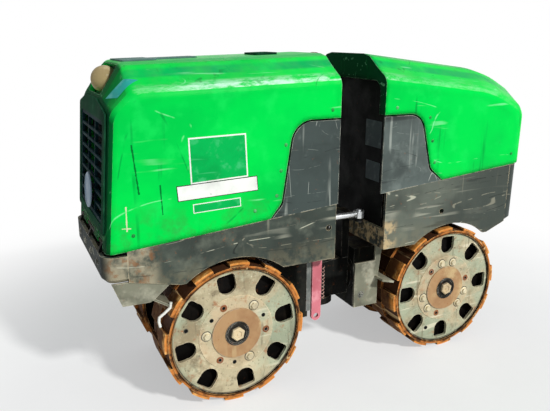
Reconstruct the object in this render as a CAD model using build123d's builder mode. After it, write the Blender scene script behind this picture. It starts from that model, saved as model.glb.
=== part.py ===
"""Four-drum articulated trench roller: two half frames joined by a pivot, on padded drums.

Millimetres, +X towards the sloping nose, +Y to the machine's left, +Z up.
The origin lies on the ground at the middle of the machine's length and width.
"""

import os

from build123d import *

# Posts of the frames and the gap between them, along the machine
WIDTH = 560.0
ENGINE_END_POST = 165.0
ENGINE_INNER_POST = 111.0
PIVOT_TO_ENGINE = 82.0
PIVOT_TO_NOSE = 145.0
NOSE_INNER_POST = 48.0
NOSE_END_POST = 89.0
OVERRUN = 4.0
SEAT = 0.3

# Drums
PAD_RADIUS = 273.0
PAD_HEIGHT = 13.0
SHELL_WALL = 13.0
DRUM_TO_KEEL = 17.0
PAD_COUNT = 12
PAD_ROWS = 2
PAD_ARC = 16.0
PAD_EDGE = 3.0
ENGINE_PAD_TURN = 12.0
NOSE_PAD_TURN = 20.0
DISC_RECESS = 9.0
DISC_PLATE = 12.0
HOLE_COUNT = 8
HOLE_TO_RIM = 13.0
HOLE_WIDTH = 70.0
HOLE_DEPTH = 76.0
HOLE_CORNER = 12.0
ENGINE_HOLE_TURN = 10.0
NOSE_HOLE_TURN = 0.0
HOLE_TO_PLATE = 13.0
CENTRE_PLATE_RISE = 3.0
HUB_RADIUS = 97.0
HUB_RISE = 5.0
HUB_BORE_RADIUS = 44.0
HUB_RECESS_DEPTH = 16.0
NUT_RADIUS = 26.0
NUT_HEIGHT = 12.0
STUB_RADIUS = 13.0
STUB_LENGTH = 5.0
AXLE_RADIUS = 50.0
MOTOR_RADIUS = 112.0
MOTOR_GAP = 6.0
RUNNING_GAP = 0.5

# Frames: heights are counted from the drums' top
ARCH_GAP = 22.0
SIDE_PLATE = 12.0
FRAME_BOTTOM_DROP = 44.0
FRAME_END_DROP = 6.0
FRAME_SLOPE_FROM_ARCH = 20.0
SEAM_LOW_INSET = 110.0
SEAM_LOW_RISE = 104.0
SEAM_HIGH_INSET = 36.0
SEAM_HIGH_RISE = 254.0
DECK_PLATE = 10.0
DECK_RISE = 4.0
SIDE_END_INSET = 80.0
TIE_HOLE_RADIUS = 11.0
TIE_HOLE_RISE = 82.0
ENGINE_TIE_HOLE_REACH = 31.0
NOSE_TIE_HOLE_REACH = 286.0

# Keels between the drums: heights are counted from the axles
KEEL_WIDTH = 150.0
KEEL_LOW_DROP = 108.0
KEEL_BEAM_RISE = 167.0
KEEL_LEG_HALF = 150.0
KEEL_LEG_RADIUS = 118.0

# Bumpers and hinges
BUMPER_PLATE = 12.0
BUMPER_TOP_DROP = 8.0
BUMPER_BEND = 16.0
ENGINE_BUMPER_CORNER = 45.0
NOSE_BUMPER_INSET = 16.0
NOSE_BUMPER_CORNER = 60.0
HINGE_RADIUS = 9.0
HINGE_ROD_RADIUS = 6.0
HINGE_RISE = 20.0
HINGE_CLEAR = 5.0
HINGE_INSET = 75.0
HINGE_LUG_RISE = 28.0
HINGE_LUG_HALF = 5.0
HINGE_NOTCH_DEPTH = 40.0
EAR_WIDTH = 12.0
KNUCKLE_WIDTH = 70.0
KNUCKLE_Y = 110.0

# Hoods: heights are counted from the drums' top, setbacks from the machine's ends
HOOD_WALL = 8.0
ENGINE_HOOD_OVERHANG = 6.0
ENGINE_ROOF_RISE = 722.0
ENGINE_ROOF_END_RISE = 697.0
ENGINE_ROOF_END_SETBACK = 125.0
ENGINE_BROW_RISE = 584.0
ENGINE_BROW_SETBACK = 53.0
ENGINE_FOOT_SETBACK = 5.0
NOSE_HOOD_OVERHANG = 27.0
NOSE_ROOF_RISE = 720.0
NOSE_KNEE_RISE = 651.0
NOSE_KNEE_SETBACK = 173.0
NOSE_KNEE_ROUND = 490.0
NOSE_BROW_RISE = 563.0
FLANGE_INSET = 38.0
FLANGE_TOP_RISE = 619.0
FLANGE_ROUND = 40.0

# Engine hood stations: distance in from the side, drop below the roof, set back from the end, end round
ENGINE_STATIONS = (
    (0.0, 108.0, 26.0, 70.0),
    (5.0, 94.0, 13.0, 66.0),
    (18.0, 80.0, 3.0, 58.0),
    (34.0, 71.0, 0.0, 48.0),
    (74.0, 46.0, 0.0, 36.0),
    (118.0, 14.0, 0.0, 28.0),
    (160.0, 5.0, 0.0, 28.0),
)

# Nose hood stations: the same four columns
NOSE_STATIONS = (
    (0.0, 108.0, 58.0, 62.0),
    (5.0, 94.0, 34.0, 62.0),
    (18.0, 80.0, 16.0, 62.0),
    (34.0, 71.0, 5.0, 62.0),
    (74.0, 46.0, 0.0, 62.0),
    (118.0, 14.0, 0.0, 62.0),
    (160.0, 5.0, 0.0, 62.0),
)

# Grille and its bezel in the engine hood's end
GRILLE_RISE = 347.0
GRILLE_INSET = 70.0
GRILLE_HEIGHT = 340.0
GRILLE_CORNER = 24.0
GRILLE_RIM = 10.0
GRILLE_COLUMNS = 3
GRILLE_ROWS = 8
GRILLE_BAR = 9.0
GRILLE_DEPTH = 30.0
GRILLE_PROUD = 2.0
BEZEL_PLATE = 5.0
BEZEL_INSET = 34.0
BEZEL_FOOT_RISE = 151.0
BEZEL_TOP_GAP = 4.0
BEZEL_TOP_HALF = 104.0
BEZEL_SHOULDER_DROP = 36.0
BEZEL_CORNER = 14.0

# Receiving eye in a pocket of the brow, strip and exhaust outlet on the roof
POCKET_WIDTH = 220.0
POCKET_HEIGHT = 112.0
POCKET_DEPTH = 22.0
POCKET_CORNER = 16.0
DOME_RADIUS = 46.0
DOME_SINK = 9.0
STRIP_PLATE = 4.0
STRIP_START = 12.0
STRIP_WIDE_LENGTH = 118.0
STRIP_WIDE_HALF = 100.0
STRIP_NARROW_LENGTH = 160.0
STRIP_NARROW_HALF = 45.0
STRIP_CORNER = 10.0
OUTLET_START = 510.0
OUTLET_LENGTH = 90.0
OUTLET_WIDTH = 120.0
OUTLET_HEIGHT = 7.0
OUTLET_CORNER = 14.0
OUTLET_SLOTS = 5
OUTLET_SLOT_WIDTH = 8.0
OUTLET_SLOT_DEPTH = 4.0
OUTLET_RIM = 16.0

# Panels beside the gap: distances from the gap edge of the hood, heights from the drums' top
PANEL_PLATE = 6.0
PANEL_GAP = 6.0
PANEL_TOP_RISE = 488.0
PANEL_FLARE = 45.0
ENGINE_PANEL_TOP = 184.0
ENGINE_PANEL_WAIST = 230.0
ENGINE_PANEL_WAIST_RISE = 196.0
ENGINE_PANEL_FOOT = 274.0
ENGINE_PANEL_ROUND = 80.0
NOSE_PANEL_TOP = 172.0
NOSE_PANEL_WAIST = 230.0
NOSE_PANEL_WAIST_RISE = 266.0
NOSE_PANEL_FOOT = 296.0
NOSE_PANEL_ROUND = 68.0

# Bulkheads, engine, lifting eye, lock bar
BULKHEAD_PLATE = 10.0
BULKHEAD_BEHIND = 14.0
BULKHEAD_CLEAR = 6.0
CYLINDER_SLOT_WIDTH = 150.0
CYLINDER_SLOT_HEIGHT = 100.0
ENGINE_BLOCK_LENGTH = 450.0
ENGINE_BLOCK_INSET = 100.0
ENGINE_BLOCK_HEIGHT = 400.0
ENGINE_BLOCK_FROM_GAP = 290.0
EYE_PLATE = 20.0
EYE_TOP_RISE = 718.0
EYE_RADIUS = 34.0
EYE_HOLE_RADIUS = 20.0
EYE_FOOT_RISE = 354.0
EYE_NECK_RISE = 604.0
LOCK_BAR_INSET = 80.0
LOCK_BAR_WIDTH = 42.0
LOCK_BAR_PLATE = 12.0
LOCK_BAR_DROP = 59.0
LOCK_BAR_HOLE_RADIUS = 11.0

# Scrapers: a skid plate with a blade at the engine's end, a bracket with a blade at the gap
SCRAPER_PLATE = 8.0
SCRAPER_CLEAR = 7.0
SCRAPER_TO_SIDE = 12.0
SCRAPER_TO_KEEL = 21.0
ENGINE_BLADE_LENGTH = 88.0
ENGINE_SCRAPER_ANGLE = 148.0
SKID_INSET = 24.0
SKID_TOE_INSET = 55.0
SKID_DEPTH = 83.0
SKID_REACH = 36.0
NOSE_BLADE_LENGTH = 60.0
NOSE_SCRAPER_ANGLE = 165.0
BRACKET_INSET = 68.0
BRACKET_TOP = 45.0
BRACKET_DROP = 37.0
BRACKET_SHOULDER_RISE = 157.0
BRACKET_REACH = 84.0

# Pivot and steering
YOKE_PLATE = 30.0
YOKE_HALF_WIDTH = 70.0
SWIVEL_DROP = 41.0
SWIVEL_RISE = 125.0
SWIVEL_HALF_WIDTH = 55.0
PIN_RADIUS = 30.0
PIN_HEAD = 14.0
PIN_HEAD_RADIUS = 44.0
FLANGE_RADIUS = 82.0
FLANGE_PLATE = 18.0
JOURNAL_RADIUS = 52.0
JOURNAL_LENGTH = 120.0
STEERING_INSET = 120.0
STEERING_PIN_REACH = 102.0
STEERING_ARM_WIDTH = 36.0
STEERING_ARM_PLATE = 16.0
ROD_RISE = 79.0
ROD_RADIUS = 12.5
ROD_LENGTH = 270.0
ROD_EYE_RADIUS = 22.0
ROD_EYE_HALF = 14.0
ROD_PIN_RADIUS = 10.0
ROD_PIN_RISE = 6.0
BARREL_RADIUS = 28.0
BARREL_EYE_TO_PIVOT = 328.0
BARREL_LENGTH = 240.0
BARREL_NECK = 40.0
BARREL_WALL = 10.0
BARREL_EYE_RADIUS = 24.0
BARREL_EYE_HALF = 14.0
BARREL_PIN_RADIUS = 12.0
BRACKET_PLATE = 12.0

# Derived places along the machine
ARCH_RADIUS = PAD_RADIUS + ARCH_GAP
ENGINE_LENGTH = ENGINE_END_POST + 2 * ARCH_RADIUS + ENGINE_INNER_POST + PIVOT_TO_ENGINE
NOSE_LENGTH = PIVOT_TO_NOSE + NOSE_INNER_POST + 2 * ARCH_RADIUS + NOSE_END_POST
LENGTH = ENGINE_LENGTH + NOSE_LENGTH
ENGINE_END_X = -LENGTH / 2
NOSE_END_X = LENGTH / 2
ENGINE_AXLE_X = ENGINE_END_X + ENGINE_END_POST + ARCH_RADIUS
NOSE_AXLE_X = NOSE_END_X - NOSE_END_POST - ARCH_RADIUS
PIVOT_X = ENGINE_END_X + ENGINE_LENGTH
ENGINE_GAP_X = PIVOT_X - PIVOT_TO_ENGINE
NOSE_GAP_X = PIVOT_X + PIVOT_TO_NOSE
ENGINE_HOOD_GAP_X = ENGINE_GAP_X + ENGINE_HOOD_OVERHANG
NOSE_HOOD_GAP_X = NOSE_GAP_X - NOSE_HOOD_OVERHANG
SEAM_LOW_X = ENGINE_END_X + SEAM_LOW_INSET
SEAM_HIGH_X = NOSE_END_X - SEAM_HIGH_INSET

# Derived widths
HALF_WIDTH = WIDTH / 2
DRUM_WIDTH = HALF_WIDTH - KEEL_WIDTH / 2 - DRUM_TO_KEEL
DISC_FACE_Y = HALF_WIDTH - DISC_RECESS
FLANGE_HALF_WIDTH = HALF_WIDTH - FLANGE_INSET
HINGE_HALF = HALF_WIDTH - HINGE_INSET
GRILLE_WIDTH = WIDTH - 2 * GRILLE_INSET
ENGINE_BLOCK_WIDTH = WIDTH - 2 * ENGINE_BLOCK_INSET
LOCK_BAR_Y = HALF_WIDTH - LOCK_BAR_INSET
SCRAPER_Y_OUT = HALF_WIDTH - SCRAPER_TO_SIDE
SCRAPER_Y_IN = KEEL_WIDTH / 2 + SCRAPER_TO_KEEL
BRACKET_Y = HALF_WIDTH - BRACKET_INSET
STEERING_ARM_Y = HALF_WIDTH - STEERING_INSET

# Derived radii and heights
AXLE_Z = PAD_RADIUS
DRUM_TOP_Z = AXLE_Z + PAD_RADIUS
SHELL_RADIUS = PAD_RADIUS - PAD_HEIGHT
BORE_RADIUS = SHELL_RADIUS - SHELL_WALL
HOLE_RADIUS_FROM_HUB = BORE_RADIUS - HOLE_TO_RIM - HOLE_DEPTH / 2
CENTRE_PLATE_RADIUS = HOLE_RADIUS_FROM_HUB - HOLE_DEPTH / 2 - HOLE_TO_PLATE
FRAME_BOTTOM_Z = DRUM_TOP_Z - FRAME_BOTTOM_DROP
FRAME_END_Z = DRUM_TOP_Z - FRAME_END_DROP
ARCH_HALF_CHORD = (ARCH_RADIUS**2 - (FRAME_BOTTOM_Z - AXLE_Z) ** 2) ** 0.5
FRAME_SLOPE_START = ARCH_HALF_CHORD + FRAME_SLOPE_FROM_ARCH
SEAM_LOW_Z = DRUM_TOP_Z + SEAM_LOW_RISE
SEAM_HIGH_Z = DRUM_TOP_Z + SEAM_HIGH_RISE
DECK_Z = AXLE_Z + ARCH_RADIUS + DECK_RISE
DECK_TOP_Z = DECK_Z + DECK_PLATE
KEEL_LOW_Z = AXLE_Z - KEEL_LOW_DROP
KEEL_BEAM_TOP_Z = AXLE_Z + KEEL_BEAM_RISE
ENGINE_ROOF_Z = DRUM_TOP_Z + ENGINE_ROOF_RISE
ENGINE_ROOF_END_Z = DRUM_TOP_Z + ENGINE_ROOF_END_RISE
ENGINE_BROW_Z = DRUM_TOP_Z + ENGINE_BROW_RISE
NOSE_ROOF_Z = DRUM_TOP_Z + NOSE_ROOF_RISE
NOSE_KNEE_Z = DRUM_TOP_Z + NOSE_KNEE_RISE
NOSE_BROW_Z = DRUM_TOP_Z + NOSE_BROW_RISE
NOSE_WALL_SETBACK = HINGE_RADIUS - HOOD_WALL / 2
FLANGE_TOP_Z = DRUM_TOP_Z + FLANGE_TOP_RISE
GRILLE_Z = DRUM_TOP_Z + GRILLE_RISE
PANEL_TOP_Z = DRUM_TOP_Z + PANEL_TOP_RISE
CROWN_DROP = ENGINE_STATIONS[-1][1]
SWIVEL_LOW_Z = AXLE_Z - SWIVEL_DROP
SWIVEL_HIGH_Z = AXLE_Z + SWIVEL_RISE
SWIVEL_Z = (SWIVEL_LOW_Z + SWIVEL_HIGH_Z) / 2
EYE_TOP_Z = DRUM_TOP_Z + EYE_TOP_RISE
EYE_FOOT_Z = DRUM_TOP_Z + EYE_FOOT_RISE
EYE_NECK_Z = DRUM_TOP_Z + EYE_NECK_RISE
LOCK_BAR_LOW_Z = AXLE_Z - LOCK_BAR_DROP
BRACKET_LOW_Z = AXLE_Z - BRACKET_DROP
BRACKET_SHOULDER_Z = AXLE_Z + BRACKET_SHOULDER_RISE
ROD_Z = DRUM_TOP_Z + ROD_RISE

os.makedirs("parts", exist_ok=True)


def seam_z(x):
    """Height of the weld seam on top of both frames at a place along the machine."""
    slope = (SEAM_HIGH_Z - SEAM_LOW_Z) / (SEAM_HIGH_X - SEAM_LOW_X)
    return SEAM_LOW_Z + (x - SEAM_LOW_X) * slope


def keep(part, name):
    """Labels a finished piece and writes its file."""
    part.label = name
    export_step(part, "parts/" + name + ".step")


def side_view(y):
    """Plane of a side view (X across, Z up) at a distance to the left of the middle."""
    return Plane.XZ.offset(-y)


def drum_view(axle_x, y, side):
    """Plane across an axle whose normal points out of the machine on that side."""
    return Plane(origin=(axle_x, y, AXLE_Z), x_dir=(-side, 0, 0), z_dir=(0, side, 0))


# Drums
def pad_outline():
    """Outline of one raised pad, seen along the axle."""
    foot_radius = SHELL_RADIUS - SHELL_WALL / 2
    with BuildSketch() as pad:
        with BuildLine():
            top = CenterArc((0, 0), PAD_RADIUS, -PAD_ARC / 2, PAD_ARC)
            foot = CenterArc((0, 0), foot_radius, -PAD_ARC / 2, PAD_ARC)
            Line(top @ 0, foot @ 0)
            Line(top @ 1, foot @ 1)
        make_face()
    return pad.sketch


def drum_shell(axle_x, side, turn):
    """Steel shell with staggered rows of raised pads."""
    inner_y = side * (HALF_WIDTH - DRUM_WIDTH)
    row_width = DRUM_WIDTH / PAD_ROWS
    with BuildPart() as shell:
        with BuildSketch(drum_view(axle_x, inner_y, side)):
            Circle(SHELL_RADIUS)
            Circle(BORE_RADIUS, mode=Mode.SUBTRACT)
        extrude(amount=DRUM_WIDTH)
        for row in range(PAD_ROWS):
            row_y = inner_y + side * (row * row_width + PAD_EDGE)
            row_turn = turn + row * 180.0 / PAD_COUNT
            with BuildSketch(drum_view(axle_x, row_y, side)):
                with PolarLocations(0, PAD_COUNT, start_angle=row_turn):
                    add(pad_outline())
            extrude(amount=row_width - 2 * PAD_EDGE)
    return shell.part


def drum_disc(axle_x, side, turn):
    """Wheel disc with D-shaped holes, set back a little from the drum's rim."""
    round_at = HOLE_RADIUS_FROM_HUB - HOLE_DEPTH / 2 + HOLE_WIDTH / 2
    flat_length = HOLE_DEPTH - HOLE_WIDTH / 2
    flat_at = HOLE_RADIUS_FROM_HUB + HOLE_DEPTH / 2 - flat_length / 2
    with BuildPart() as disc:
        with BuildSketch(drum_view(axle_x, side * (DISC_FACE_Y - DISC_PLATE), side)):
            Circle(BORE_RADIUS)
            Circle(HUB_BORE_RADIUS, mode=Mode.SUBTRACT)
            with PolarLocations(round_at, HOLE_COUNT, start_angle=turn):
                Circle(HOLE_WIDTH / 2, mode=Mode.SUBTRACT)
            with PolarLocations(flat_at, HOLE_COUNT, start_angle=turn):
                RectangleRounded(flat_length, HOLE_WIDTH, HOLE_CORNER, mode=Mode.SUBTRACT)
        extrude(amount=DISC_PLATE)
        with BuildSketch(drum_view(axle_x, side * DISC_FACE_Y, side)):
            Circle(CENTRE_PLATE_RADIUS)
            Circle(HUB_BORE_RADIUS, mode=Mode.SUBTRACT)
        extrude(amount=CENTRE_PLATE_RISE)
    return disc.part


def drum_hub(axle_x, side):
    """Hub ring on the disc's centre plate."""
    with BuildPart() as hub:
        with BuildSketch(drum_view(axle_x, side * (DISC_FACE_Y + CENTRE_PLATE_RISE), side)):
            Circle(HUB_RADIUS)
            Circle(HUB_BORE_RADIUS, mode=Mode.SUBTRACT)
        extrude(amount=HUB_RISE)
    return hub.part


def drum_axle(axle_x):
    """Axle through the keel, with a motor case inside each drum and a nut at each end."""
    inner_y = KEEL_WIDTH / 2 + MOTOR_GAP
    motor_end_y = DISC_FACE_Y - DISC_PLATE
    spigot_end_y = DISC_FACE_Y + CENTRE_PLATE_RISE + HUB_RISE - HUB_RECESS_DEPTH
    nut_end_y = spigot_end_y + NUT_HEIGHT
    with BuildPart() as axle:
        with BuildSketch(drum_view(axle_x, 0, 1)):
            Circle(AXLE_RADIUS)
        extrude(amount=inner_y, both=True)
        for side in (-1, 1):
            with BuildSketch(drum_view(axle_x, side * inner_y, side)):
                Circle(MOTOR_RADIUS)
            extrude(amount=motor_end_y - inner_y)
            with BuildSketch(drum_view(axle_x, side * motor_end_y, side)):
                Circle(HUB_BORE_RADIUS - SEAT)
            extrude(amount=spigot_end_y - motor_end_y)
            with BuildSketch(drum_view(axle_x, side * spigot_end_y, side)):
                RegularPolygon(NUT_RADIUS, 6)
            extrude(amount=NUT_HEIGHT)
            with BuildSketch(drum_view(axle_x, side * nut_end_y, side)):
                Circle(STUB_RADIUS)
            extrude(amount=STUB_LENGTH)
    return axle.part


# Half frames: end is -1 for the engine half and +1 for the nose half
def frame_side(end, axle_x, gap_x):
    """Outline of a side plate with its drum arch and tie-down hole, in the side view."""
    plate_end = end * (LENGTH / 2 - SIDE_END_INSET)
    slope_x = axle_x + end * FRAME_SLOPE_START
    tie_x = gap_x + end * (ENGINE_TIE_HOLE_REACH if end < 0 else NOSE_TIE_HOLE_REACH)
    with BuildSketch(side_view(-HALF_WIDTH)) as outline:
        with BuildLine():
            Polyline(
                (gap_x, FRAME_BOTTOM_Z),
                (slope_x, FRAME_BOTTOM_Z),
                (plate_end, FRAME_END_Z),
                (plate_end, seam_z(plate_end)),
                (gap_x, seam_z(gap_x)),
                close=True,
            )
        make_face()
        with Locations((axle_x, AXLE_Z)):
            Circle(ARCH_RADIUS, mode=Mode.SUBTRACT)
        with Locations((tie_x, DRUM_TOP_Z + TIE_HOLE_RISE)):
            Circle(TIE_HOLE_RADIUS, mode=Mode.SUBTRACT)
    return outline.sketch


def half_frame(end, axle_x, gap_x):
    """Welded half frame: two side plates, the deck over the drums and cross plates."""
    side_outline = frame_side(end, axle_x, gap_x)
    plate_end = end * (LENGTH / 2 - SIDE_END_INSET)
    deck_length = abs(gap_x - plate_end)
    inner_width = WIDTH - 2 * SIDE_PLATE
    with BuildPart() as frame:
        extrude(side_outline, amount=-SIDE_PLATE)
        mirror(about=Plane.XZ)
        with BuildSketch(Plane.XY.offset(DECK_Z)):
            with Locations(((gap_x + plate_end) / 2, 0)):
                Rectangle(deck_length, inner_width)
        extrude(amount=DECK_PLATE)
        with BuildSketch(Plane.XY.offset(FRAME_END_Z)):
            with Locations((plate_end - end * SIDE_PLATE / 2, 0)):
                Rectangle(SIDE_PLATE, inner_width)
        extrude(amount=seam_z(plate_end) - BUMPER_TOP_DROP - FRAME_END_Z)
        with BuildSketch(Plane.XY.offset(FRAME_BOTTOM_Z)):
            with Locations((gap_x + end * SIDE_PLATE / 2, 0)):
                Rectangle(SIDE_PLATE, inner_width)
        extrude(amount=DECK_Z - FRAME_BOTTOM_Z)
    return frame.part


def keel(end, axle_x, gap_x):
    """Centre box between the drums, from the deck down to the axle and along to the gap."""
    beam_end = gap_x
    with BuildPart() as box:
        with BuildSketch(side_view(0)):
            with BuildLine():
                Polyline(
                    (beam_end, KEEL_LOW_Z),
                    (axle_x, KEEL_LOW_Z),
                    (axle_x + end * KEEL_LEG_HALF, DECK_Z),
                    (axle_x - end * KEEL_LEG_HALF, DECK_Z),
                    (axle_x - end * KEEL_LEG_HALF, KEEL_BEAM_TOP_Z),
                    (beam_end, KEEL_BEAM_TOP_Z),
                    close=True,
                )
            make_face()
            with Locations((axle_x, AXLE_Z)):
                Circle(KEEL_LEG_RADIUS)
                Circle(AXLE_RADIUS + RUNNING_GAP, mode=Mode.SUBTRACT)
        extrude(amount=KEEL_WIDTH / 2, both=True)
        if end > 0:
            with BuildSketch(Plane(origin=(gap_x, 0, SWIVEL_Z), z_dir=(1, 0, 0))):
                Circle(JOURNAL_RADIUS + RUNNING_GAP)
            extrude(amount=JOURNAL_LENGTH + OVERRUN, mode=Mode.SUBTRACT)
    return box.part


def bumper_x(end):
    return ENGINE_END_X if end < 0 else NOSE_END_X - NOSE_BUMPER_INSET


def end_plan(end, inset):
    """Plan of a half frame's end with rounded corners, shrunk by an inset."""
    corner = ENGINE_BUMPER_CORNER if end < 0 else NOSE_BUMPER_CORNER
    outer_x = bumper_x(end) - end * inset
    inner_x = end * (LENGTH / 2 - SIDE_END_INSET)
    with BuildSketch(Plane.XY.offset(FRAME_END_Z)) as plan:
        with Locations(((outer_x + inner_x) / 2, 0)):
            Rectangle(abs(outer_x - inner_x), WIDTH - 2 * inset)
        corners = plan.vertices().group_by(Axis.X)[0 if end < 0 else -1]
        fillet(corners, corner - inset)
    return plan.sketch


def bumper(end):
    """Bent end plate with rounded corners and a foot that is folded in under the frame."""
    outer_plan = end_plan(end, 0)
    inner_plan = end_plan(end, BUMPER_PLATE).moved(Location((0, 0, BUMPER_PLATE)))
    height = seam_z(bumper_x(end)) - BUMPER_TOP_DROP - FRAME_END_Z
    with BuildPart() as plate:
        extrude(outer_plan, amount=height)
        foot_edges = plate.edges().group_by(Axis.Z)[0].sort_by(Axis.X)
        chamfer(foot_edges[1:] if end > 0 else foot_edges[:-1], BUMPER_BEND)
        extrude(inner_plan, amount=height, mode=Mode.SUBTRACT)
    return plate.part


def end_wall_x(end, z):
    """Outer face of a hood's end wall at a height."""
    if end < 0:
        rise = (z - FRAME_END_Z) / (ENGINE_BROW_Z - FRAME_END_Z)
        return ENGINE_END_X + ENGINE_FOOT_SETBACK + rise * (ENGINE_BROW_SETBACK - ENGINE_FOOT_SETBACK)
    return NOSE_END_X - NOSE_WALL_SETBACK


def hinge_x(end):
    """The hinge lies in line with the middle of the hood's end wall."""
    return end_wall_x(end, hinge_z(end)) - end * HOOD_WALL / 2


def hinge_z(end):
    return seam_z(end * LENGTH / 2) + HINGE_RISE


def hinge(end):
    """Hinge rod of a hood on three ears that stand on the bumper."""
    rod_x = hinge_x(end)
    rod_z = hinge_z(end)
    foot_x = bumper_x(end)
    top_z = seam_z(foot_x) - BUMPER_TOP_DROP
    with BuildPart() as rod:
        with BuildSketch(side_view(0)):
            with Locations((rod_x, rod_z)):
                Circle(HINGE_ROD_RADIUS)
        extrude(amount=HINGE_HALF, both=True)
        for ear_y in (-HINGE_HALF + EAR_WIDTH / 2, 0, HINGE_HALF - EAR_WIDTH / 2):
            with BuildSketch(side_view(ear_y)):
                with BuildLine():
                    Polyline(
                        (foot_x, top_z),
                        (foot_x - end * BUMPER_PLATE, top_z),
                        (rod_x - end * HINGE_ROD_RADIUS, rod_z),
                        (rod_x, rod_z + HINGE_ROD_RADIUS),
                        (rod_x + end * HINGE_ROD_RADIUS, rod_z),
                        close=True,
                    )
                make_face()
            extrude(amount=EAR_WIDTH / 2, both=True)
    return rod.part


# Hoods
def engine_profile(drop, setback, wall):
    """Side view of the engine hood at one station: gap edge, roof, brow and end."""
    gap_x = ENGINE_HOOD_GAP_X - wall
    end_x = ENGINE_END_X + setback + wall
    roof_drop = drop + wall
    return (
        (gap_x, FRAME_END_Z),
        (gap_x, ENGINE_ROOF_Z - roof_drop),
        (end_x + ENGINE_ROOF_END_SETBACK, ENGINE_ROOF_END_Z - roof_drop),
        (end_x + ENGINE_BROW_SETBACK, ENGINE_BROW_Z - roof_drop / 2),
        (end_x + ENGINE_FOOT_SETBACK, FRAME_END_Z),
    )


def nose_profile(drop, setback, wall):
    """Side view of the nose hood at one station: gap edge, roof, knee, brow and end."""
    gap_x = NOSE_HOOD_GAP_X + wall
    end_x = NOSE_END_X - setback - wall
    roof_drop = drop + wall
    return (
        (gap_x, FRAME_END_Z),
        (gap_x, NOSE_ROOF_Z - roof_drop),
        (end_x - NOSE_KNEE_SETBACK, NOSE_KNEE_Z - roof_drop),
        (end_x - NOSE_WALL_SETBACK, NOSE_BROW_Z - roof_drop),
        (end_x - NOSE_WALL_SETBACK, FRAME_END_Z),
    )


def hood_form(end, wall):
    """Closed form of a hood, lofted across the machine through its stations."""
    profile = engine_profile if end < 0 else nose_profile
    table = ENGINE_STATIONS if end < 0 else NOSE_STATIONS
    places = [(inward + wall - HALF_WIDTH, drop, back, bend) for inward, drop, back, bend in table]
    places += [(-y, drop, back, bend) for y, drop, back, bend in reversed(places)]
    with BuildPart() as form:
        for y, drop, back, bend in places:
            with BuildSketch(side_view(y)) as station:
                with BuildLine():
                    Polyline(*profile(drop, back, wall), close=True)
                make_face()
                for corner, radius in ((2, bend if end < 0 else NOSE_KNEE_ROUND), (3, bend)):
                    point = profile(drop, back, wall)[corner]
                    nearest = station.vertices().sort_by_distance((point[0], point[1], 0))[0]
                    fillet(nearest, radius)
        loft(ruled=True)
    return form.part


def below_seam(end, clearance):
    """Everything below the weld seam, a little raised, to be cut from a hood."""
    low_x = -LENGTH
    high_x = LENGTH
    with BuildPart() as block:
        with BuildSketch(side_view(0)):
            with BuildLine():
                Polyline(
                    (low_x, 0),
                    (high_x, 0),
                    (high_x, seam_z(high_x) + clearance),
                    (low_x, seam_z(low_x) + clearance),
                    close=True,
                )
            make_face()
        extrude(amount=WIDTH, both=True)
    return block.part


def panel_outline(end, grow):
    """Outline of the steel panel beside the gap, grown by a gap for the hood's cut-out."""
    if end < 0:
        edge = ENGINE_HOOD_GAP_X
        top, waist, foot = ENGINE_PANEL_TOP, ENGINE_PANEL_WAIST, ENGINE_PANEL_FOOT
        waist_z = DRUM_TOP_Z + ENGINE_PANEL_WAIST_RISE
        bend = ENGINE_PANEL_ROUND
    else:
        edge = NOSE_HOOD_GAP_X
        top, waist, foot = NOSE_PANEL_TOP, NOSE_PANEL_WAIST, NOSE_PANEL_FOOT
        waist_z = DRUM_TOP_Z + NOSE_PANEL_WAIST_RISE
        bend = NOSE_PANEL_ROUND
    gap_edge = edge - end * grow
    top_x = edge + end * (top + grow)
    waist_x = edge + end * (waist + grow)
    foot_x = edge + end * (foot + grow)
    with BuildSketch(side_view(0)) as outline:
        with BuildLine():
            Polyline(
                (gap_edge, seam_z(gap_edge)),
                (gap_edge, PANEL_TOP_Z + grow),
                (top_x, PANEL_TOP_Z + grow),
                (waist_x, waist_z + grow),
                (foot_x, seam_z(foot_x)),
                close=True,
            )
        make_face()
        shoulder = outline.vertices().sort_by_distance((top_x, PANEL_TOP_Z + grow, 0))[0]
        fillet(shoulder, bend + grow)
        flare = outline.vertices().sort_by_distance((waist_x, waist_z + grow, 0))[0]
        fillet(flare, PANEL_FLARE - grow)
    return outline.sketch


def side_panel(end, side):
    """Steel panel that stands on the frame's side beside the gap."""
    outline = panel_outline(end, 0).moved(Location((0, side * HALF_WIDTH, 0)))
    with BuildPart() as panel:
        extrude(outline, amount=side * PANEL_PLATE)
    return panel.part


def hood_knuckles(end):
    """Two straps of a hood's end wall with the barrels that turn on the hinge rod."""
    rod_x = hinge_x(end)
    rod_z = hinge_z(end)
    with BuildPart() as knuckles:
        for side in (-1, 1):
            with BuildSketch(side_view(side * KNUCKLE_Y)):
                with Locations((rod_x, rod_z)):
                    Circle(HINGE_RADIUS)
                with Locations((rod_x, rod_z + HINGE_LUG_RISE / 2)):
                    Rectangle(2 * HINGE_LUG_HALF, HINGE_LUG_RISE)
                with Locations((rod_x, rod_z)):
                    Circle(HINGE_ROD_RADIUS + SEAT, mode=Mode.SUBTRACT)
            extrude(amount=KNUCKLE_WIDTH / 2, both=True)
    return knuckles.part


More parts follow.
